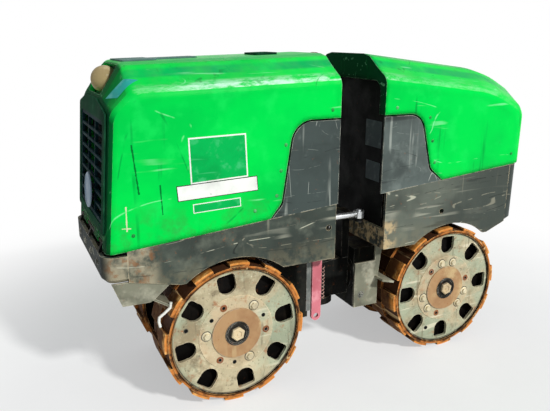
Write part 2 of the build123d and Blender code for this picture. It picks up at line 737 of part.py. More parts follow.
def hood(end):
    """Hollow moulded hood, open below and at the gap, with cut-outs beside the gap."""
    gap_x = ENGINE_HOOD_GAP_X if end < 0 else NOSE_HOOD_GAP_X
    outer_form = hood_form(end, 0)
    inner_form = hood_form(end, HOOD_WALL)
    frame_space = below_seam(end, SEAT)
    panel_space = panel_outline(end, PANEL_GAP)
    opening_height = FLANGE_TOP_Z - FRAME_BOTTOM_Z
    gap_plane = Plane(origin=(gap_x - end * OVERRUN, 0, 0), x_dir=(0, end, 0), z_dir=(end, 0, 0))
    notch_rise = HINGE_RADIUS + HINGE_CLEAR
    notch_height = notch_rise + HINGE_RISE + OVERRUN
    with BuildPart() as shell:
        add(outer_form)
        add(inner_form, mode=Mode.SUBTRACT)
        if end < 0:
            add(pocket_liner(outer_form))
            with BuildSketch(brow_plane()):
                RectangleRounded(POCKET_WIDTH, POCKET_HEIGHT, POCKET_CORNER)
            extrude(amount=-POCKET_DEPTH, mode=Mode.SUBTRACT)
            with BuildSketch(grille_plane()):
                RectangleRounded(GRILLE_WIDTH, GRILLE_HEIGHT, GRILLE_CORNER)
            extrude(amount=GRILLE_DEPTH, both=True, mode=Mode.SUBTRACT)
        add(frame_space, mode=Mode.SUBTRACT)
        with BuildSketch(gap_plane):
            with Locations((0, FLANGE_TOP_Z - opening_height / 2)):
                RectangleRounded(2 * FLANGE_HALF_WIDTH, opening_height, FLANGE_ROUND)
        extrude(amount=HOOD_WALL + 2 * OVERRUN, mode=Mode.SUBTRACT)
        extrude(panel_space, amount=WIDTH, both=True, mode=Mode.SUBTRACT)
        with Locations((hinge_x(end), 0, hinge_z(end) + notch_rise - notch_height / 2)):
            Box(HINGE_NOTCH_DEPTH, 2 * (HINGE_HALF + HINGE_CLEAR), notch_height, mode=Mode.SUBTRACT)
        add(hood_knuckles(end))
    return shell.part


# Grille, dome and roof fittings of the engine hood
def grille_plane():
    """Plane of the engine hood's end wall, its normal pointing out of the machine."""
    lean = ENGINE_BROW_SETBACK - ENGINE_FOOT_SETBACK
    up = Vector(lean, 0, ENGINE_BROW_Z - FRAME_END_Z).normalized()
    across = Vector(0, -1, 0)
    return Plane(origin=(end_wall_x(-1, GRILLE_Z), 0, GRILLE_Z), x_dir=across, z_dir=across.cross(up))


def brow_plane():
    """Plane of the engine hood's brow between the ribs, its normal pointing out."""
    low = Vector(ENGINE_END_X + ENGINE_BROW_SETBACK, 0, ENGINE_BROW_Z - CROWN_DROP / 2)
    high = Vector(ENGINE_END_X + ENGINE_ROOF_END_SETBACK, 0, ENGINE_ROOF_END_Z - CROWN_DROP)
    across = Vector(0, -1, 0)
    return Plane(origin=(low + high) / 2, x_dir=across, z_dir=across.cross(high - low))


def roof_plane():
    """Plane of the engine hood's flat crown, from the roof's end towards the gap."""
    start = Vector(ENGINE_END_X + ENGINE_ROOF_END_SETBACK, 0, ENGINE_ROOF_END_Z - CROWN_DROP)
    along = Vector(ENGINE_HOOD_GAP_X, 0, ENGINE_ROOF_Z - CROWN_DROP) - start
    return Plane(origin=start, x_dir=along, z_dir=along.cross(Vector(0, 1, 0)))


def pocket_liner(form):
    """Thick part of the brow from which the pocket of the receiving eye is cut."""
    with BuildPart() as liner:
        add(form)
        with BuildSketch(brow_plane().offset(OVERRUN)):
            RectangleRounded(
                POCKET_WIDTH + 2 * HOOD_WALL, POCKET_HEIGHT + 2 * HOOD_WALL, POCKET_CORNER + HOOD_WALL
            )
        extrude(amount=-POCKET_DEPTH - HOOD_WALL - OVERRUN, mode=Mode.INTERSECT)
    return liner.part


def grille():
    """Radiator grille: a frame set in the hood's end wall, with oblong openings."""
    with BuildPart() as bars:
        with BuildSketch(grille_plane().offset(-HOOD_WALL)):
            RectangleRounded(GRILLE_WIDTH - 2 * SEAT, GRILLE_HEIGHT - 2 * SEAT, GRILLE_CORNER)
            cell_x = (GRILLE_WIDTH - 2 * GRILLE_RIM) / GRILLE_COLUMNS
            cell_y = (GRILLE_HEIGHT - 2 * GRILLE_RIM) / GRILLE_ROWS
            with GridLocations(cell_x, cell_y, GRILLE_COLUMNS, GRILLE_ROWS):
                Rectangle(cell_x - GRILLE_BAR, cell_y - GRILLE_BAR, mode=Mode.SUBTRACT)
        extrude(amount=HOOD_WALL + GRILLE_PROUD)
    return bars.part


def engine_bezel():
    """Dark bezel on the hood's end wall around the grille, arched at its top."""
    half = HALF_WIDTH - BEZEL_INSET
    top = ENGINE_BROW_Z - CROWN_DROP / 2 - BEZEL_TOP_GAP - GRILLE_Z
    low = DRUM_TOP_Z + BEZEL_FOOT_RISE - GRILLE_Z
    with BuildPart() as bezel:
        with BuildSketch(grille_plane().offset(SEAT)) as outline:
            with BuildLine():
                Polyline(
                    (-half, low),
                    (-half, top - BEZEL_SHOULDER_DROP),
                    (-BEZEL_TOP_HALF, top),
                    (BEZEL_TOP_HALF, top),
                    (half, top - BEZEL_SHOULDER_DROP),
                    (half, low),
                    close=True,
                )
            make_face()
            fillet(outline.vertices(), BEZEL_CORNER)
            RectangleRounded(GRILLE_WIDTH, GRILLE_HEIGHT, GRILLE_CORNER, mode=Mode.SUBTRACT)
        extrude(amount=BEZEL_PLATE - SEAT)
    return bezel.part


def receiver_dome():
    """Domed receiving eye that stands on the floor of the brow's pocket."""
    with BuildPart(brow_plane().offset(-DOME_SINK)) as dome:
        Sphere(DOME_RADIUS)
        split(bisect_by=brow_plane().offset(SEAT - POCKET_DEPTH), keep=Keep.TOP)
    return dome.part


def roof_strip():
    """Grey strip on the crown of the engine hood, wide over the receiving eye."""
    with BuildPart() as strip:
        with BuildSketch(roof_plane().offset(SEAT)) as outline:
            with Locations((STRIP_START + STRIP_WIDE_LENGTH / 2, 0)):
                Rectangle(STRIP_WIDE_LENGTH, 2 * STRIP_WIDE_HALF)
            with Locations((STRIP_START + STRIP_WIDE_LENGTH + STRIP_NARROW_LENGTH / 2, 0)):
                Rectangle(STRIP_NARROW_LENGTH, 2 * STRIP_NARROW_HALF)
            fillet(outline.vertices(), STRIP_CORNER)
        extrude(amount=STRIP_PLATE)
    return strip.part


def exhaust_outlet():
    """Low slotted cover of the exhaust on the crown of the engine hood."""
    middle = OUTLET_START + OUTLET_LENGTH / 2
    pitch = (OUTLET_WIDTH - 2 * OUTLET_RIM) / OUTLET_SLOTS
    with BuildPart() as outlet:
        with BuildSketch(roof_plane().offset(SEAT)):
            with Locations((middle, 0)):
                RectangleRounded(OUTLET_LENGTH, OUTLET_WIDTH, OUTLET_CORNER)
        extrude(amount=OUTLET_HEIGHT)
        with BuildSketch(roof_plane().offset(SEAT + OUTLET_HEIGHT)):
            with Locations((middle, 0)):
                with GridLocations(0, pitch, 1, OUTLET_SLOTS):
                    SlotOverall(OUTLET_LENGTH - 2 * OUTLET_RIM, OUTLET_SLOT_WIDTH)
        extrude(amount=-OUTLET_SLOT_DEPTH, mode=Mode.SUBTRACT)
    return outlet.part


# Engine half fittings
def bulkhead(end):
    """Cross plate behind the hood's gap flange, with a slot for the steering cylinder."""
    face_x = (ENGINE_HOOD_GAP_X if end < 0 else NOSE_GAP_X) + end * BULKHEAD_BEHIND
    height = FLANGE_TOP_Z - BULKHEAD_CLEAR - DECK_TOP_Z
    half = FLANGE_HALF_WIDTH - BULKHEAD_CLEAR
    middle = (face_x, 0, DECK_TOP_Z + height / 2)
    with BuildPart() as wall:
        with BuildSketch(Plane(origin=middle, x_dir=(0, end, 0), z_dir=(end, 0, 0))):
            Rectangle(2 * half, height)
        extrude(amount=BULKHEAD_PLATE)
        top_edges = wall.edges().filter_by(Axis.X).group_by(Axis.Z)[-1]
        fillet(top_edges, FLANGE_ROUND - BULKHEAD_CLEAR)
        if end < 0:
            with Locations((face_x, -STEERING_ARM_Y, ROD_Z)):
                Box(4 * BULKHEAD_PLATE, CYLINDER_SLOT_WIDTH, CYLINDER_SLOT_HEIGHT, mode=Mode.SUBTRACT)
    return wall.part


def engine_block():
    """Engine and pump as one plain block on the deck."""
    length = ENGINE_BLOCK_LENGTH
    centre_x = ENGINE_GAP_X - ENGINE_BLOCK_FROM_GAP - length / 2
    with BuildPart() as block:
        with Locations((centre_x, 0, DECK_TOP_Z + ENGINE_BLOCK_HEIGHT / 2)):
            Box(length, ENGINE_BLOCK_WIDTH, ENGINE_BLOCK_HEIGHT)
    return block.part


def lifting_eye():
    """Plate with a lifting hole that stands up through the gap at the machine's middle."""
    foot_x = ENGINE_HOOD_GAP_X - BULKHEAD_BEHIND
    neck_x = ENGINE_HOOD_GAP_X + BULKHEAD_CLEAR
    eye_x = neck_x + EYE_RADIUS
    eye_z = EYE_TOP_Z - EYE_RADIUS
    with BuildPart() as eye:
        with BuildSketch(side_view(0)):
            with BuildLine():
                Polyline(
                    (foot_x, EYE_FOOT_Z),
                    (foot_x, EYE_NECK_Z),
                    (neck_x, EYE_NECK_Z),
                    (neck_x, eye_z),
                    (neck_x + 2 * EYE_RADIUS, eye_z),
                    (neck_x + EYE_RADIUS, EYE_FOOT_Z),
                    close=True,
                )
            make_face()
            with Locations((eye_x, eye_z)):
                Circle(EYE_RADIUS)
                Circle(EYE_HOLE_RADIUS, mode=Mode.SUBTRACT)
        extrude(amount=EYE_PLATE / 2, both=True)
    return eye.part


def lock_bar():
    """Flat bar that locks the pivot for transport, stowed upright beside the gap."""
    bar_x = ENGINE_GAP_X - SIDE_PLATE - LOCK_BAR_WIDTH / 2
    with BuildPart() as bar:
        with BuildSketch(side_view(-LOCK_BAR_Y)):
            with Locations((bar_x, (LOCK_BAR_LOW_Z + DECK_Z) / 2)):
                SlotOverall(DECK_Z - LOCK_BAR_LOW_Z, LOCK_BAR_WIDTH, rotation=90)
            with Locations((bar_x, LOCK_BAR_LOW_Z + LOCK_BAR_WIDTH / 2)):
                Circle(LOCK_BAR_HOLE_RADIUS, mode=Mode.SUBTRACT)
        extrude(amount=LOCK_BAR_PLATE / 2, both=True)
    return bar.part


# Scrapers
def blade_outline(axle_x, angle, length):
    """Side view of a scraper blade that points at the drum along a radius."""
    near = PAD_RADIUS + SCRAPER_CLEAR
    with BuildSketch(side_view(0)) as blade:
        with Locations((axle_x, AXLE_Z)):
            with PolarLocations(near + length / 2, 1, start_angle=angle):
                Rectangle(length, SCRAPER_PLATE)
    return blade.sketch


def radial(axle_x, distance, angle):
    """Point in the side view at a distance and angle from an axle."""
    spoke = Vector(distance, 0, 0).rotate(Axis.Z, angle)
    return axle_x + spoke.X, AXLE_Z + spoke.Y


def engine_scraper(side):
    """Grey skid plate under the frame's end with a blade across the drum."""
    blade = blade_outline(ENGINE_AXLE_X, ENGINE_SCRAPER_ANGLE, ENGINE_BLADE_LENGTH)
    far = PAD_RADIUS + SCRAPER_CLEAR + ENGINE_BLADE_LENGTH
    root = radial(ENGINE_AXLE_X, far - SCRAPER_PLATE, ENGINE_SCRAPER_ANGLE)
    plate_end = ENGINE_END_X + SIDE_END_INSET
    slope_x = ENGINE_AXLE_X - FRAME_SLOPE_START
    slope_rate = (FRAME_END_Z - FRAME_BOTTOM_Z) / (plate_end - slope_x)
    inner_x = slope_x - SKID_REACH
    inner_z = FRAME_BOTTOM_Z + (inner_x - slope_x) * slope_rate
    with BuildPart() as scraper:
        with BuildSketch(side_view(side * SCRAPER_Y_OUT)):
            with BuildLine():
                Polyline(
                    (ENGINE_END_X + SKID_INSET, FRAME_END_Z),
                    (plate_end, FRAME_END_Z),
                    (inner_x, inner_z),
                    (root[0] + SCRAPER_PLATE, root[1]),
                    (root[0] - SCRAPER_PLATE, root[1] - SCRAPER_PLATE),
                    (ENGINE_END_X + SKID_TOE_INSET, FRAME_END_Z - SKID_DEPTH),
                    close=True,
                )
            make_face()
        extrude(amount=-side * SCRAPER_PLATE)
        blade_in = blade.moved(Location((0, side * SCRAPER_Y_IN, 0)))
        extrude(blade_in, amount=-side * (SCRAPER_Y_OUT - SCRAPER_Y_IN))
    return scraper.part


def nose_scraper(side):
    """Grey bracket that hangs from the nose frame at the gap, with a blade to the drum."""
    blade = blade_outline(NOSE_AXLE_X, NOSE_SCRAPER_ANGLE, NOSE_BLADE_LENGTH)
    far = PAD_RADIUS + SCRAPER_CLEAR + NOSE_BLADE_LENGTH
    root = radial(NOSE_AXLE_X, far - SCRAPER_PLATE, NOSE_SCRAPER_ANGLE)
    with BuildPart() as scraper:
        with BuildSketch(side_view(side * BRACKET_Y)):
            with BuildLine():
                Polyline(
                    (NOSE_GAP_X + SIDE_PLATE, DECK_Z),
                    (NOSE_GAP_X + BRACKET_TOP, DECK_Z),
                    (NOSE_GAP_X + BRACKET_TOP, FRAME_BOTTOM_Z),
                    (root[0] + SCRAPER_PLATE, root[1] + SCRAPER_PLATE),
                    (root[0] + SCRAPER_PLATE, BRACKET_LOW_Z),
                    (NOSE_GAP_X - BRACKET_REACH, BRACKET_LOW_Z),
                    (NOSE_GAP_X - BRACKET_REACH, BRACKET_SHOULDER_Z),
                    (NOSE_GAP_X + SIDE_PLATE, BRACKET_SHOULDER_Z),
                    close=True,
                )
            make_face()
        extrude(amount=side * SCRAPER_PLATE)
        blade_in = blade.moved(Location((0, side * SCRAPER_Y_IN, 0)))
        extrude(blade_in, amount=-side * (SCRAPER_Y_OUT - SCRAPER_Y_IN))
    return scraper.part


# Pivot and steering
def yoke_plate(low_z):
    """Plate on the engine keel that carries one end of the vertical pivot pin."""
    with BuildPart() as plate:
        with BuildSketch(Plane.XY.offset(low_z)):
            with Locations((PIVOT_X, 0)):
                Circle(YOKE_HALF_WIDTH)
            with Locations(((PIVOT_X + ENGINE_GAP_X) / 2, 0)):
                Rectangle(PIVOT_TO_ENGINE, 2 * YOKE_HALF_WIDTH)
            with Locations((PIVOT_X, 0)):
                Circle(PIN_RADIUS + SEAT / 2, mode=Mode.SUBTRACT)
        extrude(amount=YOKE_PLATE)
    return plate.part


def pivot_pin():
    """Vertical pin with a head that rests on the upper yoke plate."""
    low_z = SWIVEL_LOW_Z - SEAT - YOKE_PLATE - PIN_HEAD / 2
    head_z = SWIVEL_HIGH_Z + SEAT + YOKE_PLATE
    with BuildPart() as pin:
        with BuildSketch(Plane.XY.offset(low_z)):
            with Locations((PIVOT_X, 0)):
                Circle(PIN_RADIUS)
        extrude(amount=head_z - low_z)
        with BuildSketch(Plane.XY.offset(head_z)):
            with Locations((PIVOT_X, 0)):
                Circle(PIN_HEAD_RADIUS)
        extrude(amount=PIN_HEAD)
    return pin.part


def swivel_block():
    """Block on the pivot pin, with the journal on which the nose half oscillates."""
    flange_x = NOSE_GAP_X - SEAT - FLANGE_PLATE
    with BuildPart() as block:
        with BuildSketch(Plane.XY.offset(SWIVEL_LOW_Z)):
            with Locations((PIVOT_X, 0)):
                Circle(SWIVEL_HALF_WIDTH)
            with Locations(((PIVOT_X + flange_x) / 2, 0)):
                Rectangle(flange_x - PIVOT_X, 2 * SWIVEL_HALF_WIDTH)
        extrude(amount=SWIVEL_HIGH_Z - SWIVEL_LOW_Z)
        with BuildSketch(Plane(origin=(flange_x, 0, SWIVEL_Z), z_dir=(1, 0, 0))):
            Circle(FLANGE_RADIUS)
        extrude(amount=FLANGE_PLATE)
        with BuildSketch(Plane(origin=(NOSE_GAP_X - SEAT, 0, SWIVEL_Z), z_dir=(1, 0, 0))):
            Circle(JOURNAL_RADIUS)
        extrude(amount=JOURNAL_LENGTH)
        with BuildSketch(Plane.XY.offset(SWIVEL_LOW_Z - OVERRUN)):
            with Locations((PIVOT_X, 0)):
                Circle(PIN_RADIUS + SEAT)
        extrude(amount=SWIVEL_HIGH_Z - SWIVEL_LOW_Z + 2 * OVERRUN, mode=Mode.SUBTRACT)
    return block.part


def steering_arm():
    """Post and arm on the swivel block that take the steering cylinder's rod."""
    arm_x = PIVOT_X + STEERING_PIN_REACH
    arm_top_z = ROD_Z - ROD_EYE_HALF - SEAT
    post_x = NOSE_GAP_X - SEAT - FLANGE_PLATE - STEERING_ARM_WIDTH / 2
    with BuildPart() as arm:
        with BuildSketch(Plane.XY.offset(SWIVEL_HIGH_Z)):
            with Locations((post_x, -SWIVEL_HALF_WIDTH / 2)):
                Rectangle(STEERING_ARM_WIDTH, SWIVEL_HALF_WIDTH)
        extrude(amount=arm_top_z - SWIVEL_HIGH_Z)
        with BuildSketch(Plane.XY.offset(arm_top_z - STEERING_ARM_PLATE)):
            with Locations((arm_x, -STEERING_ARM_Y / 2)):
                Rectangle(STEERING_ARM_WIDTH, STEERING_ARM_Y)
            with Locations((arm_x, -STEERING_ARM_Y)):
                Circle(STEERING_ARM_WIDTH / 2)
        extrude(amount=STEERING_ARM_PLATE)
    return arm.part


def steering_rod():
    """Piston rod with its eye and eye pin, beside the pivot."""
    eye_x = PIVOT_X + STEERING_PIN_REACH
    with BuildPart() as rod:
        with BuildSketch(Plane(origin=(eye_x, -STEERING_ARM_Y, ROD_Z), z_dir=(-1, 0, 0))):
            Circle(ROD_RADIUS)
        extrude(amount=ROD_LENGTH)
        with BuildSketch(Plane.XY.offset(ROD_Z - ROD_EYE_HALF)):
            with Locations((eye_x, -STEERING_ARM_Y)):
                Circle(ROD_EYE_RADIUS)
        extrude(amount=2 * ROD_EYE_HALF)
        with BuildSketch(Plane.XY.offset(ROD_Z + ROD_EYE_HALF)):
            with Locations((eye_x, -STEERING_ARM_Y)):
                Circle(ROD_PIN_RADIUS)
        extrude(amount=ROD_PIN_RISE)
    return rod.part


def steering_barrel():
    """Cylinder barrel with its eye, open at the rod's end."""
    eye_x = PIVOT_X - BARREL_EYE_TO_PIVOT
    tube_x = eye_x + BARREL_NECK
    with BuildPart() as barrel:
        with BuildSketch(Plane(origin=(eye_x, -STEERING_ARM_Y, ROD_Z), z_dir=(1, 0, 0))):
            Circle(ROD_RADIUS)
        extrude(amount=BARREL_NECK)
        with BuildSketch(Plane.XY.offset(ROD_Z - BARREL_EYE_HALF)):
            with Locations((eye_x, -STEERING_ARM_Y)):
                Circle(BARREL_EYE_RADIUS)
        extrude(amount=2 * BARREL_EYE_HALF)
        with BuildSketch(Plane(origin=(tube_x, -STEERING_ARM_Y, ROD_Z), z_dir=(1, 0, 0))):
            Circle(BARREL_RADIUS)
        extrude(amount=BARREL_LENGTH)
        with BuildSketch(Plane(origin=(tube_x + BARREL_WALL, -STEERING_ARM_Y, ROD_Z), z_dir=(1, 0, 0))):
            Circle(ROD_RADIUS + SEAT)
        extrude(amount=BARREL_LENGTH, mode=Mode.SUBTRACT)
        with BuildSketch(Plane.XY.offset(ROD_Z - BARREL_EYE_HALF - OVERRUN)):
            with Locations((eye_x, -STEERING_ARM_Y)):
                Circle(BARREL_PIN_RADIUS + SEAT)
        extrude(amount=2 * (BARREL_EYE_HALF + OVERRUN), mode=Mode.SUBTRACT)
    return barrel.part


def barrel_bracket():
    """Pin on a foot that stands on the engine deck and holds the barrel's eye."""
    eye_x = PIVOT_X - BARREL_EYE_TO_PIVOT
    foot_top_z = ROD_Z - BARREL_EYE_HALF - SEAT
    with BuildPart() as bracket:
        with BuildSketch(Plane.XY.offset(DECK_TOP_Z)):
            with Locations((eye_x, -STEERING_ARM_Y)):
                Rectangle(2 * BARREL_EYE_RADIUS, 2 * BARREL_EYE_RADIUS)
        extrude(amount=foot_top_z - DECK_TOP_Z)
        with BuildSketch(Plane.XY.offset(foot_top_z)):
            with Locations((eye_x, -STEERING_ARM_Y)):
                Circle(BARREL_PIN_RADIUS)
        extrude(amount=2 * BARREL_EYE_HALF + BRACKET_PLATE)
    return bracket.part


# Engine half
keep(half_frame(-1, ENGINE_AXLE_X, ENGINE_GAP_X), "engine_frame")
keep(keel(-1, ENGINE_AXLE_X, ENGINE_GAP_X), "engine_keel")
keep(bumper(-1), "engine_bumper")
keep(hinge(-1), "engine_hinge")
keep(bulkhead(-1), "engine_bulkhead")
keep(engine_block(), "engine_block")
keep(lifting_eye(), "lifting_eye")
keep(lock_bar(), "lock_bar")
keep(yoke_plate(SWIVEL_LOW_Z - SEAT - YOKE_PLATE), "pivot_yoke_lower")
keep(yoke_plate(SWIVEL_HIGH_Z + SEAT), "pivot_yoke_upper")
keep(pivot_pin(), "pivot_pin")
keep(barrel_bracket(), "barrel_bracket")
keep(hood(-1), "engine_hood")
keep(grille(), "engine_grille")
keep(engine_bezel(), "engine_bezel")
keep(receiver_dome(), "receiver_dome")
keep(roof_strip(), "roof_strip")
keep(exhaust_outlet(), "exhaust_outlet")

# Steering
keep(swivel_block(), "swivel_block")
keep(steering_arm(), "steering_arm")
keep(steering_rod(), "steering_rod")
keep(steering_barrel(), "steering_barrel")

# Nose half
keep(half_frame(1, NOSE_AXLE_X, NOSE_GAP_X), "nose_frame")
keep(keel(1, NOSE_AXLE_X, NOSE_GAP_X), "nose_keel")
keep(bumper(1), "nose_bumper")
keep(hinge(1), "nose_hinge")
keep(bulkhead(1), "nose_bulkhead")
keep(hood(1), "nose_hood")

# Drums, scrapers and panels on both sides
for side, hand in ((-1, "right"), (1, "left")):
    keep(side_panel(-1, side), "engine_panel_" + hand)
    keep(side_panel(1, side), "nose_panel_" + hand)
    keep(engine_scraper(side), "engine_scraper_" + hand)
    keep(nose_scraper(side), "nose_scraper_" + hand)
    for half, axle_x, pad_turn, hole_turn in (
        ("engine", ENGINE_AXLE_X, ENGINE_PAD_TURN, ENGINE_HOLE_TURN),
        ("nose", NOSE_AXLE_X, NOSE_PAD_TURN, NOSE_HOLE_TURN),
    ):
        keep(drum_shell(axle_x, side, pad_turn), half + "_drum_" + hand)
        keep(drum_disc(axle_x, side, hole_turn), half + "_disc_" + hand)
        keep(drum_hub(axle_x, side), half + "_hub_" + hand)
keep(drum_axle(ENGINE_AXLE_X), "engine_axle")
keep(drum_axle(NOSE_AXLE_X), "nose_axle")
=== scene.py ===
"""Looks of the four-drum trench roller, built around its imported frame."""
import math
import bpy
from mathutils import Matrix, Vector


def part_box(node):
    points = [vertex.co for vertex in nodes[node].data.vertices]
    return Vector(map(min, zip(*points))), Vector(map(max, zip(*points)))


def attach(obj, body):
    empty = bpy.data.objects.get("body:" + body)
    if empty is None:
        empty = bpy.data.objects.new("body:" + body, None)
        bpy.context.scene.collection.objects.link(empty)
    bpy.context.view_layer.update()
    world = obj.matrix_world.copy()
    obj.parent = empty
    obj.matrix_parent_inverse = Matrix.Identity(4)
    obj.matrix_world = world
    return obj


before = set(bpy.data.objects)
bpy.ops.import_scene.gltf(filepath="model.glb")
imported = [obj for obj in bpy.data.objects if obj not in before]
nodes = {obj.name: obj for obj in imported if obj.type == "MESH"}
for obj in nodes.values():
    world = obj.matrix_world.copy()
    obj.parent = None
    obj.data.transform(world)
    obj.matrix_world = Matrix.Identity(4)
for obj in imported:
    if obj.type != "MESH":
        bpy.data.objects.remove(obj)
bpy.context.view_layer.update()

from types import SimpleNamespace

import bmesh
import bpy
from mathutils import Matrix, Vector


def edge(node, axis, end):
    """Where a node's box starts (end 0) or stops (end 1) along an axis, to the millimetre."""
    return round(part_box(node)[end]["XYZ".index(axis)], 3)


# Camera at the photograph's angle
EYE = Vector((-1.19335, -2.11808, 1.31452))
RIGHT = Vector((0.90025626, -0.43531514, 0.00627721))
UP = Vector((0.11197688, 0.24545969, 0.96291782))
LENS = 39.0286
SENSOR = 36.0
CLIP_END = 50.0

# Places of the machine, in metres, from the frame. The drums stand on the floor.
HALVES = ("engine", "nose")
HANDS = {"right": -1, "left": 1}
UPWARD = (0, 0, 1)
SIDE = edge("engine_hood", "Y", 1)
DISC_FACE = edge("engine_disc_left", "Y", 1)
HUB_FACE = edge("engine_hub_left", "Y", 1)
DRUM_RADIUS = edge("engine_drum_left", "Z", 1) / 2
PAD_RISE = 0.015
SHELL_RADIUS = DRUM_RADIUS - PAD_RISE
AXLE_Z = DRUM_RADIUS
AXLE_X = {half: round((edge(f"{half}_axle", "X", 0) + edge(f"{half}_axle", "X", 1)) / 2, 3)
          for half in HALVES}
GAP_X = edge("nose_bulkhead", "X", 0)

# Gloss of the finishes. A base whose three parts add up to less than DARK_BASE counts as dark.
USUAL_GLOSS = 0.2
DARK_GLOSS = 0.06
PLASTIC_GLOSS = 0.03
DARK_BASE = 120

# Mix node sockets: the two values and the result
MIX_SOCKETS = {"RGBA": (6, 7, 2), "FLOAT": (2, 3, 0)}

# Screen colours, 0 to 255
GRIME = (62, 74, 52)
CREAM = (214, 208, 176)
RUST = (150, 88, 48)
DUST = (176, 160, 128)
STEEL = (196, 192, 180)
WHITE = (1, 1, 1, 1)
# Of the hood's colours, the creases', the roof's and the end's are painted shade, and the shoulders' pale
# green is a painted highlight
HOOD = SimpleNamespace(
    base=(0, 214, 74), deep=(2, 150, 62), fresh=(30, 226, 96), crease_shade=(2, 128, 92),
    inner_crease_shade=(2, 150, 96), bleached=(214, 248, 228), roof=(2, 158, 70), end=(0, 40, 30),
    shade=(2, 110, 50), pale=(150, 236, 176), cut=(3, 74, 36), speck=(48, 62, 46),
    dark_line=(0, 120, 52), pale_line=(150, 240, 180), edge=(186, 240, 196))
# Of the plate's colours, the near black for faces towards the engine end is painted shade
PLATE = SimpleNamespace(
    deep=(40, 46, 42), light=(112, 118, 104), pale=(170, 170, 152), cut=(24, 28, 26),
    chalk=(150, 148, 128), bare=(168, 158, 132), brown=(134, 92, 58), end_shade=(22, 32, 34),
    mud=(132, 124, 98), sand=(196, 172, 130), shade=(46, 54, 50), pale_line=(190, 190, 168),
    faint_line=(168, 164, 142), dark_line=(20, 24, 22), edge=(184, 170, 140))
PANEL = SimpleNamespace(
    deep=(36, 42, 40), light=(124, 134, 128), pale=(172, 178, 168), cut=(26, 30, 30),
    pale_line=(176, 182, 172), faint_line=(140, 148, 140), dark_line=(20, 24, 24), edge=(190, 190, 174))
# Of the drum's colours, the near black of the shell's inner wall is painted shade
DRUM = SimpleNamespace(
    base=(74, 46, 29), deep=(60, 38, 24), pad=(222, 146, 66), polished=(246, 200, 124), dirt=(52, 32, 22),
    rim=(206, 128, 62), inside=(20, 16, 13), mud=(120, 100, 76), pale=(250, 216, 158),
    edge=(236, 184, 116))
# Of the disc's colours, the near black ring round its rim is painted shade
DISC = SimpleNamespace(
    base=(186, 174, 142), tan=(136, 122, 94), light=(222, 208, 172), brown=(104, 92, 70),
    green=(150, 164, 140), rust=(158, 98, 58), dirt=(70, 62, 48), chip=(236, 226, 196),
    rim_gap_shade=(24, 20, 16), warm=(206, 178, 142), speck=(86, 78, 62), pale=(232, 224, 196),
    cut=(108, 98, 78), line=(110, 98, 76), edge=(238, 222, 186))

# Painted shade in bands along the hood's roof, at its creases: from and to, out from the middle, soft
# margin, colour and strength
ROOF_SHADE_BANDS = ((0.186, 0.206, 0.014, HOOD.crease_shade, 0.62), (0.118, 0.140, 0.012, HOOD.inner_crease_shade, 0.4))

# Scratches on the hood's side, from one (x, z) place to another, and their width
DARK_SCRATCHES = (((-0.797, 0.994), (-0.781, 0.833), 0.0035), ((-0.712, 0.858), (-0.707, 0.757), 0.003))
CREAM_SCRATCHES = (((-0.825, 0.798), (-0.826, 0.715), 0.0028), ((-0.842, 0.727), (-0.813, 0.724), 0.0024))


def linear(colour):
    """Turns a screen colour into the shader's linear value."""
    parts = [c / 255 for c in colour]
    return tuple(c / 12.92 if c <= 0.04045 else ((c + 0.055) / 1.055) ** 2.4 for c in parts) + (1.0,)


